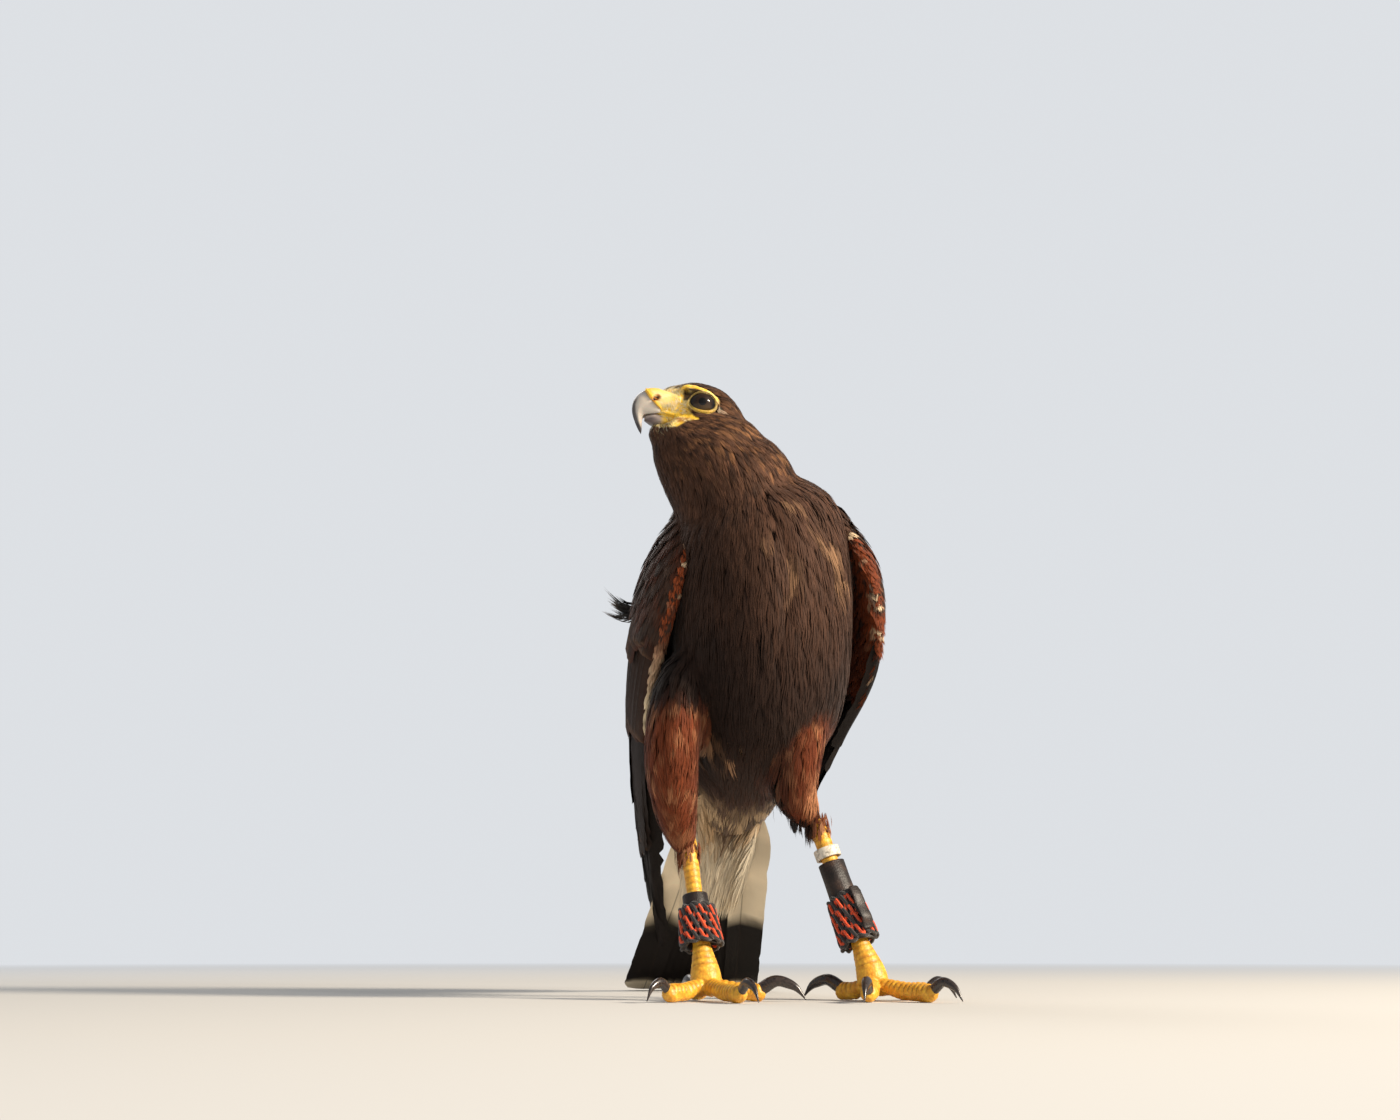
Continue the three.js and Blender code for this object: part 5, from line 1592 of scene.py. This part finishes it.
def leatherMaterial():
    material, tree, shader = nodesOf("ankletLeather")
    setShader(shader, Specular_IOR_Level=0.45, Coat_Weight=0.12, Coat_Roughness=0.35)
    place = tree.nodes.new("ShaderNodeTexCoord").outputs["Object"]
    grain = add(tree, "ShaderNodeTexVoronoi", Scale=1500.0)
    crease = add(tree, "ShaderNodeTexNoise", Scale=420.0, Detail=6.0, Distortion=1.2)
    wear = add(tree, "ShaderNodeTexNoise", Scale=150.0, Detail=3.0)
    for node in (grain, crease, wear):
        tree.links.new(place, node.inputs["Vector"])
    colour = ramp(tree, wear.outputs[0], (0.36, (0.008, 0.005, 0.004)), (0.58, (0.018, 0.01, 0.008)),
                  (0.78, (0.06, 0.03, 0.018)))
    tree.links.new(colour, shader.inputs["Base Color"])
    tree.links.new(maths(tree, "MULTIPLY_ADD", crease.outputs[0], 0.4, 0.3), shader.inputs["Roughness"])
    height = maths(tree, "ADD", maths(tree, "MULTIPLY", grain.outputs[0], 0.6), crease.outputs[0])
    bump = add(tree, "ShaderNodeBump", Strength=0.6, Distance=0.0004)
    tree.links.new(height, bump.inputs["Height"])
    tree.links.new(bump.outputs[0], shader.inputs["Normal"])
    return material


def braidMaterial(name, bright, shadow):
    material, tree, shader = nodesOf(name)
    setShader(shader, Sheen_Weight=0.3, Sheen_Roughness=0.5, Specular_IOR_Level=0.3)
    uv = add(tree, "ShaderNodeUVMap", uv_map="strand")
    split = tree.nodes.new("ShaderNodeSeparateXYZ")
    tree.links.new(uv.outputs[0], split.inputs[0])
    waves = []
    for lean in (1, -1):                                  # two sets of strands that cross
        slant = maths(tree, "MULTIPLY_ADD", split.outputs[0], 6.283 * 3 * lean,
                      maths(tree, "MULTIPLY", split.outputs[1], 6.283 / 1.5))
        waves.append(maths(tree, "SINE", slant))
    weave = maths(tree, "MULTIPLY_ADD", maths(tree, "MULTIPLY", waves[0], waves[1]), 0.5, 0.5)
    noise = add(tree, "ShaderNodeTexNoise", Scale=900.0, Detail=2.0)
    place = tree.nodes.new("ShaderNodeTexCoord").outputs["Object"]
    tree.links.new(place, noise.inputs["Vector"])
    tint = maths(tree, "MULTIPLY_ADD", noise.outputs[0], 0.5, maths(tree, "MULTIPLY", weave, 0.5))
    colour = ramp(tree, tint, (0.2, shadow), (0.62, bright))
    tree.links.new(colour, shader.inputs["Base Color"])
    tree.links.new(maths(tree, "MULTIPLY_ADD", weave, -0.15, 0.8), shader.inputs["Roughness"])
    bump = add(tree, "ShaderNodeBump", Strength=0.8, Distance=0.0003)
    tree.links.new(weave, bump.inputs["Height"])
    tree.links.new(bump.outputs[0], shader.inputs["Normal"])
    return material


def ringMaterial():
    material, tree, shader = nodesOf("legRing")
    setShader(shader, Specular_IOR_Level=0.5)
    place = tree.nodes.new("ShaderNodeTexCoord").outputs["Object"]
    scuff = add(tree, "ShaderNodeTexNoise", Scale=500.0, Detail=6.0, Distortion=0.6)
    tree.links.new(place, scuff.inputs["Vector"])
    colour = ramp(tree, scuff.outputs[0], (0.3, tuple(linear((150, 142, 128)))), (0.55, tuple(linear((214, 206, 190)))))
    tree.links.new(colour, shader.inputs["Base Color"])
    tree.links.new(maths(tree, "MULTIPLY_ADD", scuff.outputs[0], 0.4, 0.25), shader.inputs["Roughness"])
    bump = add(tree, "ShaderNodeBump", Strength=0.3, Distance=0.0002)
    tree.links.new(scuff.outputs[0], bump.inputs["Height"])
    tree.links.new(bump.outputs[0], shader.inputs["Normal"])
    return material


ankletLeather, legRing = leatherMaterial(), ringMaterial()
orangeBraid = braidMaterial("orangeBraid", tuple(linear((244, 88, 36))), tuple(linear((150, 30, 10))))
blackBraid = braidMaterial("blackBraid", (0.035, 0.03, 0.03), (0.008, 0.007, 0.007))


def sleeve(name, low, high, lowRadius, highRadius, thickness, bevel, segments=64):
    clearSelection()
    middle, way = (low + high) / 2, high - low
    facing = Vector(way).to_track_quat("Z", "Y")
    bpy.ops.mesh.primitive_cone_add(vertices=segments, radius1=lowRadius, radius2=highRadius,
                                    depth=float(np.linalg.norm(way)), end_fill_type="NOTHING", location=middle,
                                    rotation=facing.to_euler())
    band = bpy.context.object
    band.name = name
    bpy.ops.object.transform_apply(location=True, rotation=True, scale=True)
    bpy.ops.object.mode_set(mode="EDIT")
    bpy.ops.mesh.select_all(action="SELECT")
    bpy.ops.mesh.subdivide(number_cuts=3)
    bpy.ops.object.mode_set(mode="OBJECT")
    wall = band.modifiers.new("wall", "SOLIDIFY")
    wall.thickness, wall.offset = thickness, -1
    edge = band.modifiers.new("edge", "BEVEL")
    edge.width, edge.segments, edge.limit_method = bevel, 3, "ANGLE"
    finishModifiers(band)
    bpy.ops.object.shade_smooth()
    return band


def cordTube(name, path, radius, around=10, closed=True):
    path = np.asarray(path, float)
    count = len(path)
    tangent = unit(np.roll(path, -1, 0) - np.roll(path, 1, 0)) if closed else unit(np.gradient(path, axis=0))
    axis = unit(path.mean(0) * 0 + (0, 0, 1))
    side = unit(np.cross(tangent, np.broadcast_to(axis, tangent.shape) + 0.01))
    up = np.cross(side, tangent)
    angles = np.arange(around) / around * 2 * math.pi
    ring = side[:, None] * np.cos(angles)[None, :, None] + up[:, None] * np.sin(angles)[None, :, None]
    points = (path[:, None] + ring * radius).reshape(-1, 3)
    index = np.arange(count * around).reshape(count, around)
    ahead = np.roll(index, -1, 0) if closed else index[1:]
    here = index if closed else index[:-1]
    faces = np.stack([here, np.roll(here, -1, 1), np.roll(ahead, -1, 1), ahead], -1).reshape(-1, 4).tolist()
    if not closed:
        faces += [tuple(index[0][::-1]), tuple(index[-1])]
    piece = newPiece(name, points, faces)
    run = np.concatenate([[0], np.cumsum(np.linalg.norm(np.diff(path, axis=0), axis=1))])
    uvMap = piece.data.uv_layers.new(name="strand")
    loops = np.zeros(len(piece.data.loops), np.int32)
    piece.data.loops.foreach_get("vertex_index", loops)
    uv = np.stack([np.tile(np.arange(around) / around, count), np.repeat(run, around)], -1)
    uvMap.uv.foreach_set("vector", uv[loops].astype(np.float32).ravel())
    return piece


for sideName, wear in worn.items():
    leg = legs[sideName]
    ankle, foot = np.array(leg["ankle"], float), np.array(leg["foot"], float)
    on = lambda share: ankle + (foot - ankle) * share
    start, end, top, bottom = wear["cuff"]
    cuff = sleeve(f"anklet_{sideName}", on(end), on(start), bottom, top, 1.4, 0.5)
    points = pointsOf(cuff)
    way = unit(foot - ankle)
    share = ((points - ankle) @ way) / np.linalg.norm(foot - ankle)
    out = points - (ankle + (share * np.linalg.norm(foot - ankle))[:, None] * way)
    angle = np.arctan2(out @ np.cross(way, (1, 0, 0)), out @ np.array((1, 0, 0)))
    flare = ease(share, start + (end - start) * 0.55, end)
    ripple = 0.5 * np.sin(angle * 3 + 1) * flare + 0.35 * np.sin(angle * 2 + share * 9)
    lip = 0.6 * np.exp(-((share - start - 0.015) / 0.018) ** 2)
    points = points + unit(out) * (ripple + lip)[:, None] + way * (0.9 * np.sin(angle * 2 + 0.6) * flare)[:, None]
    points = points + unit(out) * (0.5 * (latticeNoise(points, 3, 61) - 0.5))[:, None]
    movePoints(cuff, points)
    settle(cuff, ankletLeather, "leather", f"cuff_{sideName}")

    start, end, top, bottom = wear["lacing"]
    strands = []
    acrossLeg = unit(np.cross(way, (0.0, 1.0, 0.0)))
    overLeg = np.cross(acrossLeg, way)
    theta = np.linspace(0, 2 * math.pi, 240, endpoint=False)
    rows = [("orange", 0.2, 0.14, 0), ("black", 0.2, 0.14, 1), ("orange", 0.4, 0.14, 0.5), ("black", 0.4, 0.14, 1.5),
            ("orange", 0.6, 0.14, 0), ("black", 0.6, 0.14, 1), ("orange", 0.8, 0.13, 0.5), ("black", 0.8, 0.13, 1.5),
            ("black", 0.95, 0.03, 0.2), ("black", 0.04, 0.03, 0.7)]
    for i, (kind, level, swing, phase) in enumerate(rows):
        waves = 9
        place = level + swing * np.sin(theta * waves / 1 + phase * math.pi) + 0.05 * np.sin(theta + wear["turn"])
        along = start + (end - start) * place
        over = 0.6 * np.sin(theta * waves + phase * math.pi + math.pi / 2)
        radius = np.interp(place, [0, 1], [top, bottom]) + (0.1 if kind == "orange" else -0.1) + over
        centre = ankle + along[:, None] * (foot - ankle)
        path = centre + acrossLeg * (radius * np.cos(theta))[:, None] + overLeg * (radius * np.sin(theta))[:, None]
        strands.append((kind, cordTube(f"strand{i}", path, 0.95 if kind == "orange" else 1.1)))
    for kind, material in (("orange", orangeBraid), ("black", blackBraid)):
        own = [piece for k, piece in strands if k == kind]
        lace = joined(f"lacing_{kind}_{sideName}", own)
        settle(lace, material, "braid", *([f"lacing_{sideName}"] if kind == "orange" else []))
    if "ring" in wear:
        start, end, radius = wear["ring"]
        ring = sleeve("ringBand", on(end), on(start), radius, radius, 1.3, 0.35, 72)
        settle(ring, legRing, "ring", "ring_left")
        strapPath = [[53.6, -5.8, 64], [57.6, -10.2, 53], [60, -12.4, 46], [61.4, -12.6, 40]]
        strap = limbPiece("strapEnd", {"path": strapPath, "wide": [3.5, 3.7, 3.6, 3.3], "deep": [0.85, 0.85, 0.8, 0.75],
                                       "side": (0.89, 0.45, 0), "ends": (0.03, 0.03)}, 24, 40)
        points = pointsOf(strap)
        points = points + (np.array([-0.45, 0.89, 0]) * (0.5 * np.sin(points[:, 2] * 0.5))[:, None])
        movePoints(strap, points)
        settle(strap, ankletLeather, "leather", "strap_left")


print("bill, cere and eyes")
billShape = {   # forward, up and half width of the ridge of the bill and of its cutting edge, base to tip
    "ridge": [(20, 12.4), (27, 12.6), (32.6, 12.4), (37.2, 9.8), (40.0, 5.6), (41.0, 1.2), (40.4, -4), (38.4, -9.3),
              (36.2, -13.6), (34.3, -16.3)],
    "edge": [(19, -3.6), (24, -4.3), (28, -4.6), (31.2, -4.7), (33.2, -5.2), (34.0, -6.8), (34.1, -9.8),
             (34.0, -12.6), (34.0, -14.9), (34.2, -16.3)],
    "edgeWide": [8.2, 7.2, 6.0, 4.6, 3.4, 2.4, 1.7, 1.1, 0.6, 0.1],
    "wide": [8.6, 8.0, 7.3, 6.3, 5.2, 4.2, 3.1, 2.1, 1.2, 0.15],
}


def lathe(name, ringsOf, count, around):
    points, faces = [], []
    for i in range(count):
        points.extend(ringsOf(i))
    for i in range(count - 1):
        for k in range(around):
            n = (k + 1) % around
            a = i * around
            faces.append((a + k, a + n, a + around + n, a + around + k))
    faces.append(tuple(range(around))[::-1])
    faces.append(tuple(range((count - 1) * around, count * around)))
    piece = newPiece(name, points, faces)
    choose(piece)
    bpy.ops.object.mode_set(mode="EDIT")
    bpy.ops.mesh.select_all(action="SELECT")
    bpy.ops.mesh.remove_doubles(threshold=0.001)
    bpy.ops.mesh.normals_make_consistent(inside=False)
    bpy.ops.object.mode_set(mode="OBJECT")
    return piece


def billRing(i, fine=44, across=36):
    q = i / (fine - 1)
    ridge = [runOf([p[k] for p in billShape["ridge"]], np.array([q]))[0] for k in (0, 1)]
    edge = [runOf([p[k] for p in billShape["edge"]], np.array([q]))[0] for k in (0, 1)]
    wide = max(runOf(billShape["wide"], np.array([q]))[0], 0.05)
    edgeWide = max(runOf(billShape["edgeWide"], np.array([q]))[0], 0.03)
    ring = []
    half = across // 2
    for k in range(across):
        side = 1 if k < half else -1
        s = (k if k < half else across - 1 - k) / (half - 1)      # 0 ridge to 1 under the palate
        if s < 0.8:
            d = s / 0.8
            bulge = math.sin(min(d / 0.62, 1) * math.pi / 2) ** 0.8
            w = wide * bulge if d < 0.62 else wide + (edgeWide - wide) * ((d - 0.62) / 0.38) ** 1.3
            down = d**1.15
            f, u = ridge[0] + (edge[0] - ridge[0]) * down, ridge[1] + (edge[1] - ridge[1]) * down
        else:
            d = (s - 0.8) / 0.2
            w = edgeWide * (1 - d)
            lift = 0.18 * d
            f, u = edge[0] + (ridge[0] - edge[0]) * lift, edge[1] + (ridge[1] - edge[1]) * lift
        ring.append(headPoint(f, max(w, 0.02) * side, u))
    return ring


def hornMaterial():
    material, tree, shader = nodesOf("billHorn")
    setShader(shader, Coat_Weight=0.2, Coat_Roughness=0.25, Specular_IOR_Level=0.4, Subsurface_Weight=0.1,
              Subsurface_Scale=0.002)
    place = tree.nodes.new("ShaderNodeTexCoord").outputs["Object"]
    shade = add(tree, "ShaderNodeAttribute", attribute_name="plumage").outputs["Color"]
    grain = add(tree, "ShaderNodeTexNoise", Scale=500.0, Detail=5.0, Distortion=2.0)
    layers = add(tree, "ShaderNodeTexNoise", Scale=160.0, Detail=2.0)
    for node in (grain, layers):
        tree.links.new(place, node.inputs["Vector"])
    colour = blendColours(tree, maths(tree, "MULTIPLY", grain.outputs[0], 0.3), shade, (0.5, 0.45, 0.4), "MULTIPLY")
    tree.links.new(colour, shader.inputs["Base Color"])
    tree.links.new(maths(tree, "MULTIPLY_ADD", layers.outputs[0], 0.3, 0.2), shader.inputs["Roughness"])
    bump = add(tree, "ShaderNodeBump", Strength=0.2, Distance=0.0002)
    tree.links.new(grain.outputs[0], bump.inputs["Height"])
    tree.links.new(bump.outputs[0], shader.inputs["Normal"])
    return material


def cereMaterial():
    material, tree, shader = nodesOf("cereSkin")
    setShader(shader, Coat_Weight=0.25, Coat_Roughness=0.3, Specular_IOR_Level=0.5, Subsurface_Weight=0.15,
              Subsurface_Scale=0.002)
    place = tree.nodes.new("ShaderNodeTexCoord").outputs["Object"]
    shade = add(tree, "ShaderNodeAttribute", attribute_name="plumage").outputs["Color"]
    pores = add(tree, "ShaderNodeTexVoronoi", Scale=1100.0)
    mottle = add(tree, "ShaderNodeTexNoise", Scale=500.0, Detail=3.0)
    for node in (pores, mottle):
        tree.links.new(place, node.inputs["Vector"])
    colour = blendColours(tree, maths(tree, "MULTIPLY", mottle.outputs[0], 0.3), shade, (0.9, 0.74, 0.5), "MULTIPLY")
    tree.links.new(colour, shader.inputs["Base Color"])
    tree.links.new(maths(tree, "MULTIPLY_ADD", pores.outputs[0], 0.2, 0.34), shader.inputs["Roughness"])
    bump = add(tree, "ShaderNodeBump", Strength=0.3, Distance=0.0002)
    tree.links.new(pores.outputs[0], bump.inputs["Height"])
    tree.links.new(bump.outputs[0], shader.inputs["Normal"])
    return material


billHorn, cereSkin = hornMaterial(), cereMaterial()
cereFront = ([-5.0, -4.5, -1.8, 1.9, 6, 10.8, 13], [22.8, 23, 24.5, 28.5, 31.7, 33.7, 34.2])   # up, forward


upper = lathe("billUpper", billRing, 44, 36)
h = toHead(pointsOf(upper))
covered = ease(np.interp(h[:, 2], *cereFront) - h[:, 0], -0.4, 1.0)      # the horn goes in under the cere
h[:, 1] *= 1 - 0.16 * covered
h[:, 2] -= (h[:, 2] - 3) * 0.1 * covered * (h[:, 2] > 3)
movePoints(upper, np.array(head["centre"]) + h @ headAxes)
tipwards = ease(h[:, 2], 2, -12)
# a dark line down the ridge is painted shade of the far side; the darker tip is the bill's own colour
ridgePaintedShade = ease(lineDistance(h * (1, 0, 1), [(f, 0, u) for f, u in billShape["ridge"]]), 2.6, 1.0) * ease(h[:, 2], 9, 3)
colour = mix(linear((206, 194, 178)), linear((186, 178, 172)), np.maximum(tipwards * 0.6, ease(h[:, 2], 4, 10)))
colour = mix(colour, linear((214, 204, 188)), ease(latticeNoise(h * (0.4, 1, 1), 2.4, 51), 0.5, 0.8) * 0.4)
colour = mix(colour, linear((60, 54, 56)), np.clip(ridgePaintedShade * 0.92 + ease(h[:, 2], -9, -16) * 0.75, 0, 1))
paint(upper, "plumage", colour)
settle(upper, billHorn, "horn", "bill_upper")

lowerShape = {"top": [(4, -7.4), (12, -6.4), (20, -4.6), (27, -3.7), (32.8, -4.6)],
              "under": [(3, -13.2), (11.3, -13.6), (20, -11.4), (28, -9.9), (32.9, -7.7)],
              "wide": [10.6, 9.4, 7.9, 6.0, 1.8]}


def lowerRing(i, fine=30, across=28):
    q = np.array([i / (fine - 1)])
    top = [runOf([p[k] for p in lowerShape["top"]], q)[0] for k in (0, 1)]
    under = [runOf([p[k] for p in lowerShape["under"]], q)[0] for k in (0, 1)]
    wide = runOf(lowerShape["wide"], q)[0]
    ring = []
    for k in range(across):
        angle = k / across * 2 * math.pi
        c, s = math.cos(angle), math.sin(angle)
        rise = 0.5 + 0.5 * (abs(s) ** 0.8 * (1 if s > 0 else -1))
        w = wide * (abs(c) ** 0.7 * (1 if c > 0 else -1)) * (1 if s > 0 else 0.72 + 0.28 * abs(c))
        ring.append(headPoint(under[0] + (top[0] - under[0]) * rise, w, under[1] + (top[1] - under[1]) * rise))
    return ring


lower = lathe("billLower", lowerRing, 30, 28)
h = toHead(pointsOf(lower))
colour = mix(tone["yellow"], linear((176, 160, 150)), ease(h[:, 0], 20.5, 24.5))
# painted shade: the lower bill is darker below, towards the tip
colour = mix(colour, linear((84, 66, 66)), ease(h[:, 0], 22, 30) * ease(h[:, 2], -5.6, -7.6) * 0.85)
paint(lower, "plumage", colour)
settle(lower, billHorn, "horn", "bill_lower")

cereShape = {"back": 12.5, "topBack": 26, "f": [12, 18, 24, 29, 34], "top": [15.4, 14.4, 13.6, 13.0, 12.4],
             "low": [-6.6, -6.0, -4.8, -4.9, -5.0], "wide": [12.2, 10.5, 9.2, 8.3, 7.2]}


def cereRing(i, fine=34, across=60):
    q = i / (fine - 1)
    ring = []
    for k in range(across):
        angle = (k + 0.5) / across * 2 * math.pi
        c, s = math.cos(angle), math.sin(angle)          # s 1 at the ridge, -1 below
        height = s
        front = np.interp(-5.0 + 18.0 * (0.5 + 0.5 * height), *cereFront)
        back = cereShape["back"] + (cereShape["topBack"] - cereShape["back"]) * float(ease(height, 0.1, 0.8))
        f = back + (front - back) * q
        top, low = np.interp(f, cereShape["f"], cereShape["top"]), np.interp(f, cereShape["f"], cereShape["low"])
        wide = np.interp(f, cereShape["f"], cereShape["wide"])
        swell = 0.35 * math.sin(min(q, 1) * math.pi) + 0.35 * math.exp(-((q - 0.93) / 0.05) ** 2)
        close = -0.9 * max(0, (q - 0.965) / 0.035) ** 2
        u = low + (top - low) * (0.5 + 0.5 * s)
        w = wide * abs(c) ** 0.82 * (1 if c > 0 else -1)
        normal = np.array([0, c, s])
        ring.append(headPoint(f, w + normal[1] * (swell + close), u + normal[2] * (swell + close)))
    return ring


cere = lathe("cereSkinForm", cereRing, 34, 60)
points = pointsOf(cere)
h = toHead(points)
nostril = np.hypot((h[:, 0] - 27.3) / 2.4, (h[:, 2] - 4.7 + (h[:, 0] - 27.3) * 0.35) / 1.75)
side = np.sign(h[:, 1])
h[:, 1] -= side * 1.5 * ease(nostril, 1.05, 0.7) * (1 - 0.75 * ease(nostril, 0.4, 0.15))
h[:, 1] += side * 0.3 * np.exp(-((nostril - 1.3) / 0.28) ** 2)
movePoints(cere, np.array(head["centre"]) + h @ headAxes)
colour = faceColour(h)
colour = mix(colour, tone["yellowPale"], ease(h[:, 0], 15, 20) * 0.85)
colour = mix(colour, linear((252, 240, 196)), ease(latticeNoise(h * (0.4, 0.4, 1.7), 0.8, 52), 0.55, 0.85) * 0.6)
colour = mix(colour, tone["yellow"], ease(np.interp(h[:, 2], *cereFront) - h[:, 0], 4.0, 1.2))
colour = mix(colour, tone["yellow"], ease(h[:, 2], 8.5, 11.5) * 0.8)
colour = mix(colour, linear((206, 118, 32)), ease(nostril, 1.25, 0.95))
# painted shade: the nostril is dark inside, round its central bump
colour = mix(colour, linear((62, 28, 12)), ease(nostril, 0.95, 0.7) * ease(nostril, 0.15, 0.4))
paint(cere, "plumage", colour)
settle(cere, cereSkin, "bare_skin", "cere")


def eyeMaterial():
    material, tree, shader = nodesOf("hawkEye")
    setShader(shader, Coat_Weight=0.55, Coat_Roughness=0.02, Roughness=0.5, Specular_IOR_Level=0.1)
    uv = add(tree, "ShaderNodeUVMap", uv_map="gaze")
    length = tree.nodes.new("ShaderNodeVectorMath")
    length.operation = "LENGTH"
    tree.links.new(uv.outputs[0], length.inputs[0])
    radius = length.outputs["Value"]
    split = tree.nodes.new("ShaderNodeSeparateXYZ")
    tree.links.new(uv.outputs[0], split.inputs[0])
    angle = maths(tree, "ARCTAN2", split.outputs[1], split.outputs[0])
    spokes = tree.nodes.new("ShaderNodeCombineXYZ")
    tree.links.new(maths(tree, "MULTIPLY", angle, 9.0), spokes.inputs[0])
    tree.links.new(maths(tree, "MULTIPLY", radius, 0.35), spokes.inputs[1])
    fibre = add(tree, "ShaderNodeTexNoise", Scale=2.0, Detail=3.0)
    tree.links.new(spokes.outputs[0], fibre.inputs["Vector"])
    iris = ramp(tree, fibre.outputs[0], (0.3, tuple(linear((16, 9, 6)))), (0.72, tuple(linear((50, 30, 16)))))
    # painted shade: the iris is left dark above and lighter below, as shade from the brow
    low = maths(tree, "MULTIPLY_ADD", split.outputs[1], -0.13, 0.0)
    iris = blendColours(tree, maths(tree, "MAXIMUM", low, 0.0), iris, linear((84, 64, 30)))
    ring = ramp(tree, maths(tree, "DIVIDE", radius, 9.0), (0.25, (0, 0, 0)), (0.285, (1, 1, 1)), (0.58, (0.9, 0.9, 0.9)),
                (0.74, (0.04, 0.035, 0.03)))
    tree.links.new(blendColours(tree, 1.0, iris, ring, "MULTIPLY"), shader.inputs["Base Color"])
    return material


hawkEye = eyeMaterial()
for sideName, s in (("left", 1), ("right", -1)):
    clearSelection()
    bpy.ops.mesh.primitive_ico_sphere_add(subdivisions=6, radius=head["eyeRadius"],
                                          location=headPoint(head["eye"][0], head["eye"][1] * s, head["eye"][2]))
    eye = bpy.context.object
    eye.name = f"eyeball_{sideName}"
    bpy.ops.object.shade_smooth()
    gazeWay = unit(np.array([0.07, s, -0.06]) @ headAxes)
    acrossWay = unit(np.cross(gazeWay, headUp)) * -s
    upWay = np.cross(acrossWay, gazeWay) * s
    points = pointsOf(eye)
    forwardness = points @ gazeWay / head["eyeRadius"]
    cornea = ease(forwardness, 0.72, 0.95) * 0.5
    points = points * (1 + cornea / head["eyeRadius"])[:, None]
    movePoints(eye, points)
    upWay = headUp - gazeWay * (headUp @ gazeWay)
    gazeMap = eye.data.uv_layers.new(name="gaze") if "gaze" not in eye.data.uv_layers else eye.data.uv_layers["gaze"]
    loops = np.zeros(len(eye.data.loops), np.int32)
    eye.data.loops.foreach_get("vertex_index", loops)
    flatGaze = np.stack([points @ acrossWay, points @ unit(upWay)], -1)
    flatGaze = flatGaze + np.where(forwardness < 0, 30, 0)[:, None]
    gazeMap.uv.foreach_set("vector", flatGaze[loops].astype(np.float32).ravel())
    gazeMap.active_render = True
    settle(eye, hawkEye, "eye", f"eye_{sideName}")

print("floor, light and camera")
view = {"lens": 40, "azimuth": -5, "pitch": 14.07, "distance": 915, "aside": 34, "height": 28}
light = {"key": 215, "catch": 7, "fill": 5, "rim": 8, "sky": 0.3, "backdrop": 0.78, "wall": (0.93, 0.96, 1.0)}

floorMaterial, floorTree, floorShader = nodesOf("paleFloor")
setShader(floorShader, Roughness=0.9, Specular_IOR_Level=0, Emission_Strength=1)
reach = floorTree.nodes.new("ShaderNodeVectorMath")              # the floor fades into the wall
reach.operation = "LENGTH"
floorTree.links.new(floorTree.nodes.new("ShaderNodeTexCoord").outputs["Object"], reach.inputs[0])
far = maths(floorTree, "MULTIPLY", reach.outputs["Value"], 0.1)
floorTree.links.new(ramp(floorTree, far, (0.05, (0.6, 0.59, 0.57)), (0.26, (0, 0, 0))), floorShader.inputs["Base Color"])
wall = tuple(light["backdrop"] * v for v in light["wall"])
floorTree.links.new(ramp(floorTree, far, (0.05, (0, 0, 0)), (0.26, wall)), floorShader.inputs["Emission Color"])
clearSelection()
bpy.ops.mesh.primitive_circle_add(vertices=96, radius=30, fill_type="NGON")
floor = bpy.context.object
floor.name = "floor"
floor.data.materials.append(floorMaterial)

world = bpy.data.worlds.new("studio")
bpy.context.scene.world = world
bpy.context.scene.view_settings.view_transform = "Standard"
world.use_nodes = True
sky = world.node_tree
seen = sky.nodes.new("ShaderNodeLightPath").outputs["Is Camera Ray"]     # a paler wall than the light it gives
strength = maths(sky, "MULTIPLY_ADD", seen, light["backdrop"] - light["sky"], light["sky"])
sky.nodes["Background"].inputs[0].default_value = (*light["wall"], 1)
sky.links.new(strength, sky.nodes["Background"].inputs[1])


def softLight(name, place, power, size, colour):
    target = base + np.array([0, 0, 180]) / 1000
    spot = target + np.array(place, float)
    lamp = bpy.data.lights.new(name, "AREA")
    lamp.shape, lamp.size, lamp.energy, lamp.color = "DISK", size, power, colour
    holder = bpy.data.objects.new(name, lamp)
    bpy.context.scene.collection.objects.link(holder)
    holder.location = spot
    holder.visible_glossy = name != "fill"            # one window only in the eye
    holder.rotation_euler = Vector(target - spot).to_track_quat("-Z", "Y").to_euler()


softLight("key", (2.55, -1.6, 1.5), light["key"], 0.7, (1, 0.87, 0.7))
softLight("catch", (1.05, -1.2, 0.85), light["catch"], 0.22, (1, 0.96, 0.9))
softLight("fill", (-1.4, -1.0, 0.5), light["fill"], 1.4, (0.78, 0.88, 1))
softLight("rim", (-0.6, 1.3, 1.1), light["rim"], 1.0, (1, 0.95, 0.9))

azimuth, pitch = math.radians(view["azimuth"]), math.radians(view["pitch"])
level = np.array([-math.sin(azimuth), math.cos(azimuth), 0])
rightwards = np.array([math.cos(azimuth), math.sin(azimuth), 0])
lensData = bpy.data.cameras.new("photoView")
lensData.lens, lensData.sensor_width = view["lens"], 36
camera = bpy.data.objects.new("photoView", lensData)
bpy.context.scene.collection.objects.link(camera)
spot = -view["distance"] * level - view["aside"] * rightwards + np.array([0, 0, view["height"]])
camera.location = base + spot / 1000
gaze = level * math.cos(pitch) + np.array([0, 0, math.sin(pitch)])
camera.rotation_mode = "QUATERNION"
camera.rotation_quaternion = Vector(gaze).to_track_quat("-Z", "Y")
bpy.context.scene.camera = camera
